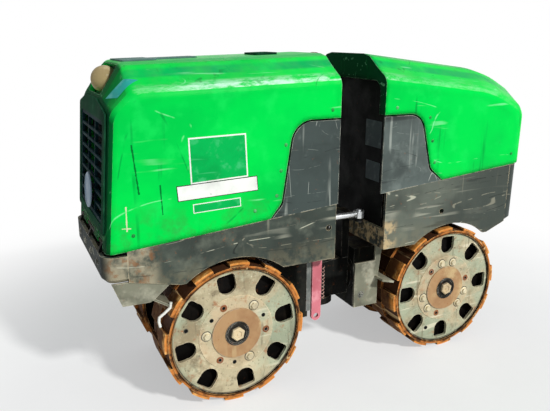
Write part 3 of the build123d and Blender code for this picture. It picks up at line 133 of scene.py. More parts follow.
class Look:
    """A procedural material, built up layer by layer over a base colour."""

    def __init__(self, name, base, rough, rough_scale, metal=0.0, gloss=USUAL_GLOSS):
        self.material = bpy.data.materials.new(name)
        self.material.use_nodes = True
        self.tree = self.material.node_tree
        self.shader = self.tree.nodes["Principled BSDF"]
        self.shader.inputs["Metallic"].default_value = metal
        self.shader.inputs["Specular IOR Level"].default_value = gloss
        place = self.tree.nodes.new("ShaderNodeTexCoord")
        self.place = place.outputs["Object"]
        self.normal = place.outputs["Normal"]
        self.colour = linear(base)
        self.relief = None
        self.roughness = self.span(self.noise(rough_scale, detail=5), 0.3, 0.7, *rough)

    def node(self, kind, **settings):
        """Adds a shader node."""
        made = self.tree.nodes.new(kind)
        for key, value in settings.items():
            setattr(made, key, value)
        return made

    def feed(self, socket, value):
        """Links a socket to another, or sets its value."""
        if isinstance(value, bpy.types.NodeSocket):
            self.tree.links.new(value, socket)
        else:
            socket.default_value = value

    def span(self, value, low, high, start=0.0, end=1.0):
        """Maps a range of a value smoothly to another."""
        made = self.node("ShaderNodeMapRange", interpolation_type="SMOOTHSTEP")
        ends = {"Value": value, "From Min": low, "From Max": high, "To Min": start, "To Max": end}
        for key, item in ends.items():
            self.feed(made.inputs[key], item)
        return made.outputs[0]

    def combine(self, operation, a, b=0.0):
        """A sum of two values, or another operation on them."""
        made = self.node("ShaderNodeMath", operation=operation)
        self.feed(made.inputs[0], a)
        self.feed(made.inputs[1], b)
        return made.outputs[0]

    def both(self, *masks):
        """1 where all the masks are."""
        whole = masks[0]
        for mask in masks[1:]:
            whole = self.combine("MULTIPLY", whole, mask)
        return whole

    def either(self, a, b):
        """1 where one of two masks is."""
        return self.combine("MAXIMUM", a, b)

    def moved(self, scale, turn):
        """The object's place, scaled and turned."""
        made = self.node("ShaderNodeMapping", vector_type="POINT")
        self.feed(made.inputs["Vector"], self.place)
        made.inputs["Scale"].default_value = scale
        made.inputs["Rotation"].default_value = turn
        return made.outputs[0]

    def noise(self, scale, stretch=None, turn=(0, 0, 0), detail=4.0, rough=0.6):
        """Noise round the object's place, drawn out if a stretch is given."""
        made = self.node("ShaderNodeTexNoise")
        self.feed(made.inputs["Vector"], self.moved(stretch, turn) if stretch else self.place)
        made.inputs["Scale"].default_value = scale
        made.inputs["Detail"].default_value = detail
        made.inputs["Roughness"].default_value = rough
        return made.outputs[0]

    def clouds(self, scale, low, high, **kind):
        """1 in the bright parts of a noise."""
        return self.span(self.noise(scale, **kind), low, high)

    def axis(self, letter):
        """The place along X, Y or Z."""
        made = self.node("ShaderNodeSeparateXYZ")
        self.feed(made.inputs[0], self.place)
        return made.outputs["XYZ".index(letter)]

    def band(self, value, low, high, soft):
        """1 where a value lies between two limits, fading over a soft margin."""
        return self.both(self.span(value, low - soft, low), self.span(value, high, high + soft, 1.0, 0.0))

    def window(self, letter, low, high, soft):
        """1 between two places along an axis, fading over a soft margin."""
        return self.band(self.axis(letter), low, high, soft)

    def reach(self, half):
        """Distance from the axle of a half's drums."""
        centre = self.node("ShaderNodeVectorMath", operation="SUBTRACT")
        self.feed(centre.inputs[0], self.place)
        centre.inputs[1].default_value = (AXLE_X[half], 0, AXLE_Z)
        flat = self.node("ShaderNodeVectorMath", operation="MULTIPLY")
        self.feed(flat.inputs[0], centre.outputs[0])
        flat.inputs[1].default_value = (1, 0, 1)
        made = self.node("ShaderNodeVectorMath", operation="LENGTH")
        self.feed(made.inputs[0], flat.outputs[0])
        return made.outputs["Value"]

    def facing(self, direction, low=0.3, high=0.9):
        """1 on faces that look in a direction."""
        made = self.node("ShaderNodeVectorMath", operation="DOT_PRODUCT")
        self.feed(made.inputs[0], self.normal)
        made.inputs[1].default_value = direction
        return self.span(made.outputs["Value"], low, high)

    def edges(self, radius):
        """1 along the piece's sharp edges."""
        bent = self.node("ShaderNodeBevel", samples=6)
        bent.inputs["Radius"].default_value = radius
        plain = self.node("ShaderNodeNewGeometry")
        made = self.node("ShaderNodeVectorMath", operation="DOT_PRODUCT")
        self.feed(made.inputs[0], bent.outputs[0])
        self.feed(made.inputs[1], plain.outputs["Normal"])
        return self.span(self.combine("SUBTRACT", 1.0, made.outputs["Value"]), 0.02, 0.16)

    def stroke(self, start, end, width):
        """1 along a ragged scratch between two (x, z) places of the side."""
        (x0, z0), (x1, z1) = start, end
        length = math.hypot(x1 - x0, z1 - z0)
        turn = math.atan2(z1 - z0, x1 - x0)
        shift = self.node("ShaderNodeVectorMath", operation="SUBTRACT")
        self.feed(shift.inputs[0], self.place)
        shift.inputs[1].default_value = (x0, 0, z0)
        level = self.node("ShaderNodeMapping")
        self.feed(level.inputs["Vector"], shift.outputs[0])
        level.inputs["Rotation"].default_value = (0, turn, 0)
        split = self.node("ShaderNodeSeparateXYZ")
        self.feed(split.inputs[0], level.outputs[0])
        along, across = split.outputs[0], self.combine("ABSOLUTE", split.outputs[2])
        wide = self.span(self.noise(60.0), 0.35, 0.65, width / 2, width)
        line = self.combine("LESS_THAN", across, wide)
        begun = self.combine("GREATER_THAN", along, 0.0)
        unended = self.combine("LESS_THAN", along, length)
        return self.both(line, begun, unended)

    def mixed(self, kind, mask, below, above):
        """One value over another, where the mask is 1."""
        first, second, result = MIX_SOCKETS[kind]
        made = self.node("ShaderNodeMix", data_type=kind)
        self.feed(made.inputs[0], mask)
        self.feed(made.inputs[first], below)
        self.feed(made.inputs[second], above)
        return made.outputs[result]

    def paint(self, colour, mask, amount=1.0, rough=None):
        """Lays a colour, and if given a roughness, where the mask is 1."""
        if amount != 1.0:
            mask = self.combine("MULTIPLY", mask, amount)
        self.colour = self.mixed("RGBA", mask, self.colour, linear(colour))
        if rough is not None:
            self.roughness = self.mixed("FLOAT", mask, self.roughness, rough)

    def tone(self, colour, scale, low, high, amount):
        """Clouds of another tone."""
        self.paint(colour, self.clouds(scale, low, high), amount)

    def scratch(self, colour, scale, stretch, turn, low, high, amount):
        """Fine lines drawn out along one direction, in patches."""
        lines = self.span(self.noise(scale, stretch, turn, detail=2.0), low, high)
        patches = self.clouds(5.0, 0.42, 0.6, detail=2.0)
        self.paint(colour, self.both(lines, patches), amount)

    def hairlines(self, colour, scale, width, amount, stretch, turn):
        """Thin curved scratches, along the contours of a cloud, in patches."""
        cloud = self.noise(scale, stretch, turn, detail=0.6, rough=0.3)
        off = self.combine("ABSOLUTE", self.combine("SUBTRACT", cloud, 0.5))
        lines = self.span(off, width * 0.4, width, 1.0, 0.0)
        patches = self.clouds(scale * 2.3, 0.50, 0.58, detail=2.0)
        self.paint(colour, self.both(lines, patches), amount, 0.5)

    def rounded(self, radius):
        """Shades the facets of a bent form as one soft bend."""
        made = self.node("ShaderNodeBevel", samples=8)
        made.inputs["Radius"].default_value = radius
        self.relief = made.outputs[0]

    def worn(self, colour, radius, amount, rough):
        """Bare or pale edges, broken up by noise."""
        broken = self.clouds(30.0, 0.38, 0.58, detail=5)
        self.paint(colour, self.both(self.edges(radius), broken), amount, rough)

    def dusty(self, amount):
        """Dust on faces that look up."""
        cloud = self.clouds(14.0, 0.35, 0.7, detail=6)
        self.paint(DUST, self.both(self.facing(UPWARD), cloud), amount, 0.85)

    def bump(self, height, distance, strength):
        """Raises the surface with a height, on top of the relief it has."""
        made = self.node("ShaderNodeBump")
        made.inputs["Strength"].default_value = strength
        made.inputs["Distance"].default_value = distance
        self.feed(made.inputs["Height"], height)
        if self.relief is not None:
            self.feed(made.inputs["Normal"], self.relief)
        self.relief = made.outputs[0]

    def done(self):
        """Closes the look and gives its material."""
        self.feed(self.shader.inputs["Base Color"], self.colour)
        self.feed(self.shader.inputs["Roughness"], self.roughness)
        if self.relief is not None:
            self.feed(self.shader.inputs["Normal"], self.relief)
        return self.material


def hood_look():
    """Moulded green plastic, scuffed on its sides, with a painted highlight along its shoulders and painted
    shade on its roof and its engine end.
    """
    look = Look("hood_green", HOOD.base, rough=(0.26, 0.42), rough_scale=6.0, gloss=PLASTIC_GLOSS)
    look.rounded(0.032)
    look.tone(HOOD.deep, 2.4, 0.40, 0.72, 0.42)
    look.tone(HOOD.fresh, 11.0, 0.50, 0.70, 0.35)
    inward = look.combine("ABSOLUTE", look.axis("Y"))
    # Painted shade in bands along the roof's creases, on faces that look up
    for low, high, soft, colour, amount in ROOF_SHADE_BANDS:
        crease_shade = look.band(inward, low, high, soft)
        on_top = look.facing(UPWARD, 0.35, 0.7)
        look.paint(colour, look.both(crease_shade, on_top, look.clouds(4.0, 0.25, 0.6)), amount)
    # Painted highlight along both shoulders, fainter towards the engine end and on the nose half
    for side in HANDS.values():
        shoulder_highlight = look.both(
            look.facing((0, side * 0.72, 0.69), 0.90, 0.99),
            look.span(inward, 0.236, 0.256),
            look.span(look.noise(26.0, (0.4, 1, 1), detail=7, rough=0.75), 0.40, 0.60),
            look.span(look.axis("X"), -0.74, -0.52, 0.25, 1.0),
            look.span(look.axis("X"), 0.10, 0.30, 1.0, 0.25))
        look.paint(HOOD.bleached, shoulder_highlight, 0.8, 0.3)
    # Painted shade: faces that look up are darker green
    look.paint(HOOD.roof, look.facing(UPWARD, 0.80, 0.99), 0.5)
    # Painted shade: faces that look towards the engine end are near black green
    look.paint(HOOD.end, look.facing((-1, 0, -0.1), 0.40, 0.86), 0.94, 0.75)
    low_down = look.span(look.axis("Z"), 0.84, 0.66)
    look.paint(GRIME, look.both(low_down, look.clouds(16.0, 0.40, 0.72, detail=7)), 0.55, 0.6)
    look.scratch(HOOD.shade, 26.0, (1, 1, 0.07), (0, 0.16, 0), 0.62, 0.70, 0.55)
    look.scratch(HOOD.pale, 34.0, (0.09, 1, 1), (0, 0.4, 0), 0.64, 0.70, 0.45)
    for start, end, width in DARK_SCRATCHES:
        look.paint(HOOD.cut, look.stroke(start, end, width), 0.8, 0.6)
    for start, end, width in CREAM_SCRATCHES:
        look.paint(CREAM, look.stroke(start, end, width), 0.85, 0.6)
    look.paint(HOOD.speck, look.clouds(75.0, 0.74, 0.78, detail=2), 0.55)
    look.hairlines(HOOD.dark_line, 4.0, 0.003, 0.5, (0.7, 1, 0.25), (0, 0.3, 0))
    look.hairlines(HOOD.pale_line, 6.0, 0.003, 0.45, (0.25, 1, 0.9), (0, 0.5, 0))
    look.worn(HOOD.edge, 0.004, 0.7, 0.5)
    look.dusty(0.05)
    look.bump(look.noise(260.0, detail=3), 0.0004, 0.5)
    look.bump(look.noise(9.0, detail=2), 0.004, 0.25)
    return look.done()


def frame_look(name, base, engine_end):
    """Scratched dark plate with rust along its edges, and more of it at the engine end's corners, with
    painted shade on faces towards the engine end.
    """
    look = Look(name, base, rough=(0.42, 0.66), rough_scale=12.0, metal=0.1)
    look.tone(PLATE.deep, 3.2, 0.42, 0.66, 0.65)
    look.tone(PLATE.light, 8.0, 0.52, 0.74, 0.55)
    look.scratch(PLATE.pale, 30.0, (0.07, 1, 1), (0, 0.12, 0), 0.60, 0.68, 0.55)
    look.scratch(PLATE.cut, 24.0, (0.10, 1, 1), (0, -0.3, 0), 0.60, 0.68, 0.6)
    look.scratch(PLATE.chalk, 30.0, (1, 1, 0.1), (0, 0.2, 0), 0.66, 0.72, 0.5)
    look.paint(RUST, look.clouds(48.0, 0.60, 0.72, detail=8, rough=0.7), 0.45, 0.85)
    if engine_end:
        sides = look.either(look.facing((0, -1, 0), 0.2, 0.7), look.facing((0, 1, 0), 0.2, 0.7))
        corner = look.both(look.window("X", -0.93, -0.76, 0.05), look.window("Z", 0.48, 0.66, 0.03), sides)
        look.paint(PLATE.bare, look.both(corner, look.clouds(17.0, 0.36, 0.60, detail=6)), 0.75, 0.8)
        look.paint(PLATE.brown, look.both(corner, look.clouds(31.0, 0.50, 0.64, detail=7)), 0.7, 0.85)
    # Painted shade on faces that look towards the engine end, broken up by noise
    shade_break = look.span(look.noise(8.0, detail=6), 0.25, 0.60, 0.6, 1.0)
    look.paint(PLATE.end_shade, look.both(look.facing((-1, 0, 0), 0.4, 0.9), shade_break), 0.85, 0.8)
    low_down = look.span(look.axis("Z"), 0.62, 0.50)
    look.paint(PLATE.mud, look.both(low_down, look.clouds(20.0, 0.40, 0.62, detail=6)), 0.40, 0.85)
    if not engine_end:
        by_gap = look.both(look.window("X", 0.15, 0.215, 0.04), look.window("Z", 0.50, 0.60, 0.03))
        look.paint(PLATE.sand, look.both(by_gap, look.clouds(38.0, 0.44, 0.60, detail=6)), 0.8, 0.8)
        look.paint(PLATE.shade, look.span(look.axis("X"), 0.40, 0.72), 0.75)
    look.hairlines(PLATE.pale_line, 6.0, 0.004, 0.75, (0.25, 1, 1.1), (0, 0.25, 0))
    look.hairlines(PLATE.faint_line, 9.0, 0.003, 0.45, (0.16, 1, 1.2), (0, -0.3, 0))
    look.hairlines(PLATE.dark_line, 7.0, 0.005, 0.7, (0.3, 1, 1.0), (0, 0.1, 0))
    look.worn(PLATE.edge, 0.005, 0.85, 0.5)
    look.dusty(0.45)
    look.bump(look.noise(90.0, detail=5), 0.0008, 0.5)
    look.bump(look.noise(14.0, detail=2), 0.003, 0.3)
    return look.done()


def panel_look(name, base):
    """Dark pressed panel with long light scuffs."""
    look = Look(name, base, rough=(0.34, 0.58), rough_scale=10.0, metal=0.1)
    look.tone(PANEL.deep, 4.0, 0.40, 0.68, 0.6)
    look.tone(PANEL.light, 9.0, 0.54, 0.74, 0.5)
    look.scratch(PANEL.pale, 30.0, (1, 1, 0.07), (0, 0.7, 0), 0.60, 0.68, 0.6)
    look.scratch(PANEL.cut, 28.0, (0.08, 1, 1), (0, 0.1, 0), 0.60, 0.68, 0.6)
    look.paint(RUST, look.clouds(52.0, 0.66, 0.74, detail=8), 0.3, 0.85)
    look.hairlines(PANEL.pale_line, 6.0, 0.004, 0.7, (1.2, 1, 0.3), (0, 0.5, 0))
    look.hairlines(PANEL.faint_line, 11.0, 0.004, 0.6, (0.35, 1, 1.1), (0, -0.2, 0))
    look.hairlines(PANEL.dark_line, 8.0, 0.005, 0.6, (0.3, 1, 1.0), (0, 0.6, 0))
    look.worn(PANEL.edge, 0.005, 0.8, 0.5)
    look.bump(look.noise(120.0, detail=4), 0.0005, 0.5)
    return look.done()


def drum_look(half):
    """Rusty shell with tan, polished pads, and painted shade on the inner tread and on the shell's inner
    wall by the rims.
    """
    look = Look(f"drum_rust_{half}", DRUM.base, rough=(0.55, 0.8), rough_scale=18.0, metal=0.1,
                gloss=DARK_GLOSS)
    look.tone(DRUM.deep, 14.0, 0.40, 0.66, 0.75)
    radius = look.reach(half)
    top = look.span(radius, DRUM_RADIUS - 0.010, DRUM_RADIUS - 0.004)
    # Painted shade: the pads' tan fades out inward from the rims, leaving the inner tread dark
    outer = look.span(look.combine("ABSOLUTE", look.axis("Y")), 0.236, 0.272, 0.06, 1.0)
    look.paint(DRUM.pad, look.both(top, outer, look.clouds(20.0, 0.28, 0.56, detail=7)), 0.95, 0.5)
    look.paint(DRUM.polished, look.both(top, outer, look.clouds(42.0, 0.50, 0.66, detail=5)), 0.8, 0.42)
    look.paint(DRUM.dirt, look.both(top, look.clouds(30.0, 0.58, 0.70, detail=6)), 0.6, 0.8)
    for side in HANDS.values():
        rim = look.both(look.facing((0, side, 0), 0.6, 0.95), look.clouds(26.0, 0.34, 0.60, detail=6))
        look.paint(DRUM.rim, rim, 0.8, 0.6)
    # Painted shade: the shell's inner wall near its rim is near black; mud lies on it too
    inner = look.span(radius, SHELL_RADIUS - 0.003, SHELL_RADIUS - 0.007)
    look.paint(DRUM.inside, inner, 0.85, 0.9)
    look.paint(DRUM.mud, look.both(inner, look.clouds(12.0, 0.55, 0.7, detail=6)), 0.5, 0.8)
    look.scratch(DRUM.pale, 40.0, (1, 0.08, 1), (0, 0, 0), 0.60, 0.68, 0.5)
    look.worn(DRUM.edge, 0.004, 0.7, 0.45)
    look.bump(look.noise(70.0, detail=7, rough=0.7), 0.0018, 0.7)
    return look.done()


def disc_look(half):
    """Pale, dirty plate with scuffs that run round the axle."""
    look = Look(f"disc_grey_{half}", DISC.base, rough=(0.46, 0.7), rough_scale=14.0, metal=0.1)
    look.tone(DISC.tan, 7.0, 0.42, 0.62, 0.8)
    look.tone(DISC.light, 12.0, 0.50, 0.66, 0.7)
    look.tone(DISC.brown, 19.0, 0.58, 0.70, 0.6)
    look.tone(DISC.green, 6.0, 0.42, 0.58, 0.7)
    look.paint(DISC.rust, look.clouds(26.0, 0.56, 0.64, detail=8, rough=0.75), 0.65, 0.8)
    look.paint(DISC.dirt, look.clouds(110.0, 0.62, 0.68, detail=4), 0.7, 0.8)
    look.paint(DISC.chip, look.clouds(140.0, 0.64, 0.70, detail=3), 0.6, 0.6)
    radius = look.reach(half)
    # Painted shade: a dark ring round the disc's rim, where it sits back in the shell
    look.paint(DISC.rim_gap_shade, look.span(radius, 0.2405, 0.2440), 0.85, 0.9)
    by_hub = look.both(look.span(radius, 0.150, 0.142), look.clouds(20.0, 0.3, 0.6, detail=5))
    look.paint(DISC.warm, by_hub, 0.45, 0.7)
    look.paint(DISC.speck, look.clouds(60.0, 0.64, 0.70, detail=5), 0.55, 0.8)
    look.scratch(DISC.pale, 36.0, (0.1, 1, 1), (0, 0.8, 0), 0.60, 0.67, 0.5)
    look.scratch(DISC.cut, 36.0, (1, 1, 0.1), (0, 0.5, 0), 0.60, 0.67, 0.5)
    look.hairlines(DISC.line, 9.0, 0.004, 0.4, (0.4, 1, 1.2), (0, 0.7, 0))
    look.worn(DISC.edge, 0.004, 0.8, 0.45)
    look.bump(look.noise(80.0, detail=6, rough=0.7), 0.0014, 0.8)
    return look.done()


def plain_look(name, base, dark, light, rough=(0.45, 0.7), metal=0.3, rust=0.4, worn=0.7, dust=0.3,
               worn_colour=STEEL):
    """Painted or bare metal with dirt, rust specks and worn edges."""
    gloss = DARK_GLOSS if sum(base) < DARK_BASE else USUAL_GLOSS
    look = Look(name, base, rough=rough, rough_scale=13.0, metal=metal, gloss=gloss)
    look.tone(dark, 5.0, 0.40, 0.66, 0.65)
    look.tone(light, 12.0, 0.52, 0.72, 0.5)
    look.paint(RUST, look.clouds(44.0, 0.60, 0.70, detail=8, rough=0.7), rust, 0.85)
    look.scratch(light, 34.0, (1, 1, 0.09), (0, 0.3, 0), 0.62, 0.69, 0.5)
    look.worn(worn_colour, 0.004, worn, 0.45)
    look.dusty(dust)
    look.bump(look.noise(80.0, detail=5), 0.0008, 0.5)
    return look.done()


def plastic_look(name, base, dark, light, rough=(0.3, 0.5), dust=0.2):
    """Moulded plastic or rubber with a fine grain."""
    look = Look(name, base, rough=rough, rough_scale=10.0, gloss=PLASTIC_GLOSS)
    look.tone(dark, 6.0, 0.42, 0.66, 0.5)
    look.tone(light, 16.0, 0.54, 0.72, 0.45)
    look.worn(light, 0.003, 0.6, 0.7)
    look.dusty(dust)
    look.bump(look.noise(300.0, detail=3), 0.0003, 0.5)
    return look.done()


# Metals by material slot: base colour, darker and lighter clouds, and what differs from the usual
METALS = {
    "axle_steel": ((120, 104, 84), (70, 58, 46), (168, 150, 122), {"metal": 0.6, "rust": 0.6}),
    "hub_tan": ((174, 138, 98), (124, 80, 50), (216, 196, 146), {"metal": 0.1, "rust": 0.85}),
    "pivot_black": ((26, 27, 25), (8, 9, 9), (60, 60, 52), {"metal": 0.0, "rust": 0.25, "worn": 0.4}),
    "scraper_grey": ((122, 122, 104), (70, 70, 60), (196, 192, 170),
                     {"metal": 0.1, "rust": 0.45, "worn_colour": (222, 212, 186)}),
    "lock_red": ((206, 118, 128), (168, 84, 92), (244, 178, 184),
                 {"metal": 0.0, "rust": 0.25, "worn_colour": (248, 200, 204)}),
    "rod_chrome": ((226, 228, 228), (190, 194, 196), (246, 246, 244),
                   {"rough": (0.12, 0.3), "metal": 0.9, "rust": 0.05, "dust": 0.1}),
    "cylinder_black": ((40, 42, 42), (18, 20, 20), (80, 82, 78), {"rust": 0.2}),
    "engine_grey": ((70, 72, 70), (38, 40, 40), (108, 106, 98), {"rust": 0.3}),
}
PLASTICS = {
    "grille_black": ((14, 40, 44), (6, 18, 21), (40, 80, 82), {"rough": (0.6, 0.8), "dust": 0.0}),
    "bezel_black": ((14, 64, 40), (4, 26, 20), (46, 104, 72), {"rough": (0.72, 0.86), "dust": 0.0}),
    "dome_amber": ((172, 152, 108), (126, 112, 82), (214, 198, 156), {"rough": (0.2, 0.42)}),
    "strip_grey": ((84, 118, 112), (58, 84, 80), (120, 150, 142), {"rough": (0.5, 0.7), "dust": 0.1}),
}
LOOKS = {
    "hood_green": hood_look(),
    "frame_grey": frame_look("frame_grey", (60, 68, 61), True),
    "panel_dark": panel_look("panel_dark", (62, 72, 69)),
}
for name, (*tones, kind) in METALS.items():
    LOOKS[name] = plain_look(name, *tones, **kind)
for name, (*tones, kind) in PLASTICS.items():
    LOOKS[name] = plastic_look(name, *tones, **kind)

# Nodes whose look isn't their slot's, and the nodes that share it
NODE_LOOKS = {
    "nose_frame": frame_look("frame_grey_nose", (92, 98, 88), False),
    "nose_bumper": frame_look("frame_grey_nose_bumper", (60, 68, 63), False),
    "nose_panel_left": panel_look("panel_dark_nose", (88, 98, 94)),
    "engine_bulkhead": plain_look("bulkhead_black", (10, 12, 11), (4, 5, 5), (26, 30, 26),
                                  metal=0.0, rust=0.12, worn=0.4),
    "lifting_eye": plain_look("lifting_eye", (112, 96, 74), (70, 58, 44), (176, 150, 118), rust=0.6),
    "engine_disc_right": disc_look("engine"),
    "nose_disc_right": disc_look("nose"),
    "engine_drum_right": drum_look("engine"),
    "nose_drum_right": drum_look("nose"),
    "engine_keel": plain_look("keel_black", (34, 35, 31), (12, 13, 12), (84, 80, 66),
                              metal=0.0, rust=0.35, worn=0.5),
}
SHARED_LOOKS = {
    "nose_panel_right": "nose_panel_left", "nose_bulkhead": "engine_bulkhead", "nose_keel": "engine_keel",
    "engine_disc_left": "engine_disc_right", "nose_disc_left": "nose_disc_right",
    "engine_drum_left": "engine_drum_right", "nose_drum_left": "nose_drum_right",
}
for there, here in SHARED_LOOKS.items():
    NODE_LOOKS[there] = NODE_LOOKS[here]
for name, obj in nodes.items():
    for holder in obj.material_slots:
        holder.material = NODE_LOOKS.get(name, LOOKS.get(holder.material.name, LOOKS["frame_grey"]))

# How deep a fitting's foot is sunk, and the angle from which an edge shades sharp
SEAT = 0.001
SHARP = math.radians(32)


def turned(bm, at, axis, profile, sides=20, turn=0.0):
    """Revolves pairs of radius and height round an axis through a place."""
    basis = Vector(axis).to_track_quat("Z", "Y").to_matrix()
    rings = []
    for radius, height in profile:
        count = sides if radius > 0 else 1
        angles = [turn + math.tau * k / count for k in range(count)]
        spots = [Vector((radius * math.cos(a), radius * math.sin(a), height)) for a in angles]
        rings.append([bm.verts.new(at + basis @ spot) for spot in spots])
    for low, high in zip(rings, rings[1:]):
        for k in range(sides):
            lower = [low[k % len(low)], low[(k + 1) % len(low)]]
            upper = [high[(k + 1) % len(high)], high[k % len(high)]]
            corners = list(dict.fromkeys(lower + upper))
            if len(corners) > 2:
                bm.faces.new(corners)


def bolt(bm, at, axis, size, height, turn=0.0):
    """A hex head with a chamfered crown and a dished top, on its washer."""
    lift = size * 0.18
    washer = size * 1.45
    turned(bm, at, axis, [(0, -SEAT), (washer, -SEAT), (washer, lift * 0.8), (size * 1.36, lift), (0, lift)])
    crown = lift + height
    dish = lift + height * 0.94
    head = [(0, lift * 0.5), (size, lift * 0.5), (size, lift + height * 0.8), (size * 0.86, crown),
            (size * 0.5, crown), (size * 0.45, dish), (0, dish)]
    turned(bm, at, axis, head, 6, turn)


def rivet(bm, at, axis, radius):
    """A domed rivet head."""
    rise = radius * 0.55
    dome = [(radius * math.cos(a), rise * math.sin(a)) for a in (0.0, 0.4, 0.8, 1.2)]
    turned(bm, at, axis, [(0, -SEAT), (radius, -SEAT)] + dome + [(0, rise)], 16)


def close(bm, rings):
    """Joins rings of the same count into a closed form with two end faces."""
    count = len(rings[0])
    for low, high in zip(rings, rings[1:]):
        for k in range(count):
            bm.faces.new([low[k], low[(k + 1) % count], high[(k + 1) % count], high[k]])
    bm.faces.new(rings[0][::-1])
    bm.faces.new(rings[-1])


def swept(bm, path, radius, sides=10):
    """A closed tube that follows a path."""
    rings = []
    last = len(path) - 1
    side = None
    for k, point in enumerate(path):
        ahead = (path[min(k + 1, last)] - path[max(k - 1, 0)]).normalized()
        side = ahead.orthogonal() if side is None else side - ahead * side.dot(ahead)
        side = side.normalized()
        third = ahead.cross(side)
        angles = [math.tau * j / sides for j in range(sides)]
        rings.append([bm.verts.new(point + radius * (math.cos(a) * side + math.sin(a) * third))
                      for a in angles])
    close(bm, rings)


def slab(bm, corners, depth):
    """A plate with slightly broken edges, from its face's corners and its depth vector."""
    corners = [Vector(c) for c in corners]
    depth = Vector(depth)
    middle = sum(corners, Vector()) / len(corners)
    break_edge = min(depth.length * 0.35, 0.0015)
    face = [c + (middle - c).normalized() * break_edge for c in corners]
    close(bm, [[bm.verts.new(c + depth) for c in corners],
               [bm.verts.new(c + depth * 0.25) for c in corners],
               [bm.verts.new(c) for c in face]])


def piece(name, bm, body, material, smooth=True):
    """Makes an object of the mesh, which rides on a body and takes the given material."""
    bmesh.ops.recalc_face_normals(bm, faces=bm.faces)
    mesh = bpy.data.meshes.new(name)
    bm.to_mesh(mesh)
    bm.free()
    if smooth:
        for polygon in mesh.polygons:
            polygon.use_smooth = True
        mesh.set_sharp_from_angle(angle=SHARP)
    mesh.materials.append(material)
    obj = bpy.data.objects.new(name, mesh)
    bpy.context.scene.collection.objects.link(obj)
    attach(obj, body)


def land(names, start, direction):
    """First place on the named nodes' surfaces along a ray, with its normal and node."""
    best = None
    for name in names:
        hit, place, normal, _ = nodes[name].ray_cast(start, direction)
        if hit and (best is None or (place - start).length < (best[0] - start).length):
            best = (place, normal, name)
    return best


# Body that carries each node with a label or a rivet
BODY_OF = {"nose_bulkhead": "nose_half"}
for half in HALVES:
    BODY_OF[f"{half}_hood"] = f"{half}_lid"
    BODY_OF[f"{half}_frame"] = f"{half}_half"
    BODY_OF[f"{half}_panel_right"] = f"{half}_half"
    BODY_OF[f"{half}_panel_left"] = f"{half}_half"

# Labels: how far the film and the face on it stand proud, depth of the rim, and start of the ray
FILM_LIFT = 0.0007
FACE_LIFT = 0.0013
FILM_FOOT = 0.0004
RAY_START = 0.15


def label(name, node, corners, look_from, material, lift=FILM_LIFT, steps=6):
    """A thin blank label that follows the surface under it."""
    toward = Vector(look_from).normalized()
    a, b, c, d = [Vector(p) for p in corners]
    bm = bmesh.new()
    rows = []
    for i in range(steps + 1):
        row = []
        for j in range(steps + 1):
            u, v = j / steps, i / steps
            spot = a * (1 - u) * (1 - v) + b * u * (1 - v) + c * u * v + d * (1 - u) * v
            found = land([node], spot + toward * RAY_START, -toward)
            place = found[0] if found else spot
            row.append(bm.verts.new(place + toward * lift))
        rows.append(row)
    for i in range(steps):
        for j in range(steps):
            bm.faces.new([rows[i][j], rows[i][j + 1], rows[i + 1][j + 1], rows[i + 1][j]])
    rim = rows[0] + [row[-1] for row in rows[1:]] + rows[-1][-2::-1] + [row[0] for row in rows[-2:0:-1]]
    foot = [bm.verts.new(vert.co - toward * (lift + FILM_FOOT)) for vert in rim]
    for k in range(len(rim)):
        after = (k + 1) % len(rim)
        bm.faces.new([rim[after], rim[k], foot[k], foot[after]])
    piece(name, bm, BODY_OF[node], material)


def label_look(name, base):
    """Printed film, faded and a little scuffed."""
    look = Look(name, base, rough=(0.3, 0.5), rough_scale=16.0, gloss=0.05)
    dark = tuple(int(c * 0.82) for c in base)
    light = tuple(int(255 - (255 - c) * 0.7) for c in base)
    look.tone(dark, 9.0, 0.42, 0.66, 0.5)
    look.tone(light, 22.0, 0.52, 0.70, 0.5)
    look.scratch(light, 40.0, (0.1, 1, 1), (0, 0.5, 0), 0.62, 0.70, 0.5)
    look.paint(GRIME, look.clouds(60.0, 0.62, 0.74, detail=6), 0.3, 0.7)
    look.bump(look.noise(150.0, detail=3), 0.0003, 0.4)
    return look.done()


FILM_COLOURS = {
    "label_white": (232, 234, 226), "label_green": (4, 172, 78), "label_black": (26, 28, 26),
    "label_teal": (44, 160, 150), "badge_grey": (140, 160, 176), "label_dark": (84, 92, 94),
}
FILMS = {name: label_look(name, colour) for name, colour in FILM_COLOURS.items()}

# Labels on the hood's side: (x, z) corners, film of the border, film of the face, width of the border
SIDE_LABELS = {
    "label_square": (((-0.614, 1.004), (-0.411, 1.008), (-0.404, 0.858), (-0.609, 0.850)),
                     "label_white", "label_green", 0.005),
    "label_strip": (((-0.659, 0.848), (-0.370, 0.858), (-0.366, 0.805), (-0.655, 0.795)),
                    "label_black", "label_white", 0.0025),
    "label_small": (((-0.604, 0.781), (-0.433, 0.787), (-0.431, 0.755), (-0.603, 0.749)),
                    "label_white", "label_green", 0.003),
}
# Label on the chamfer beside the dome: its plane, its (x, z) corners and the way it faces
BROW_Y = -0.222
BROW_PLACES = ((-0.802, 1.202), (-0.750, 1.186), (-0.814, 1.122), (-0.866, 1.158))
BROW_FACING = (-0.35, -0.75, 0.55)
# Labels on the bulkhead in the gap: lower and upper edge, and the two sides
GAP_LABELS = {"label_gap_upper": (0.898, 1.004, -0.208, -0.100),
              "label_gap_lower": (0.762, 0.840, -0.208, -0.112)}


def inset(corners, margin):
    """The corners of a side label moved towards their middle."""
    middle = sum(corners, Vector()) / len(corners)
    out = []
    for corner in corners:
        step = middle - corner
        out.append(corner + Vector((math.copysign(margin, step.x), 0, math.copysign(margin, step.z))))
    return out


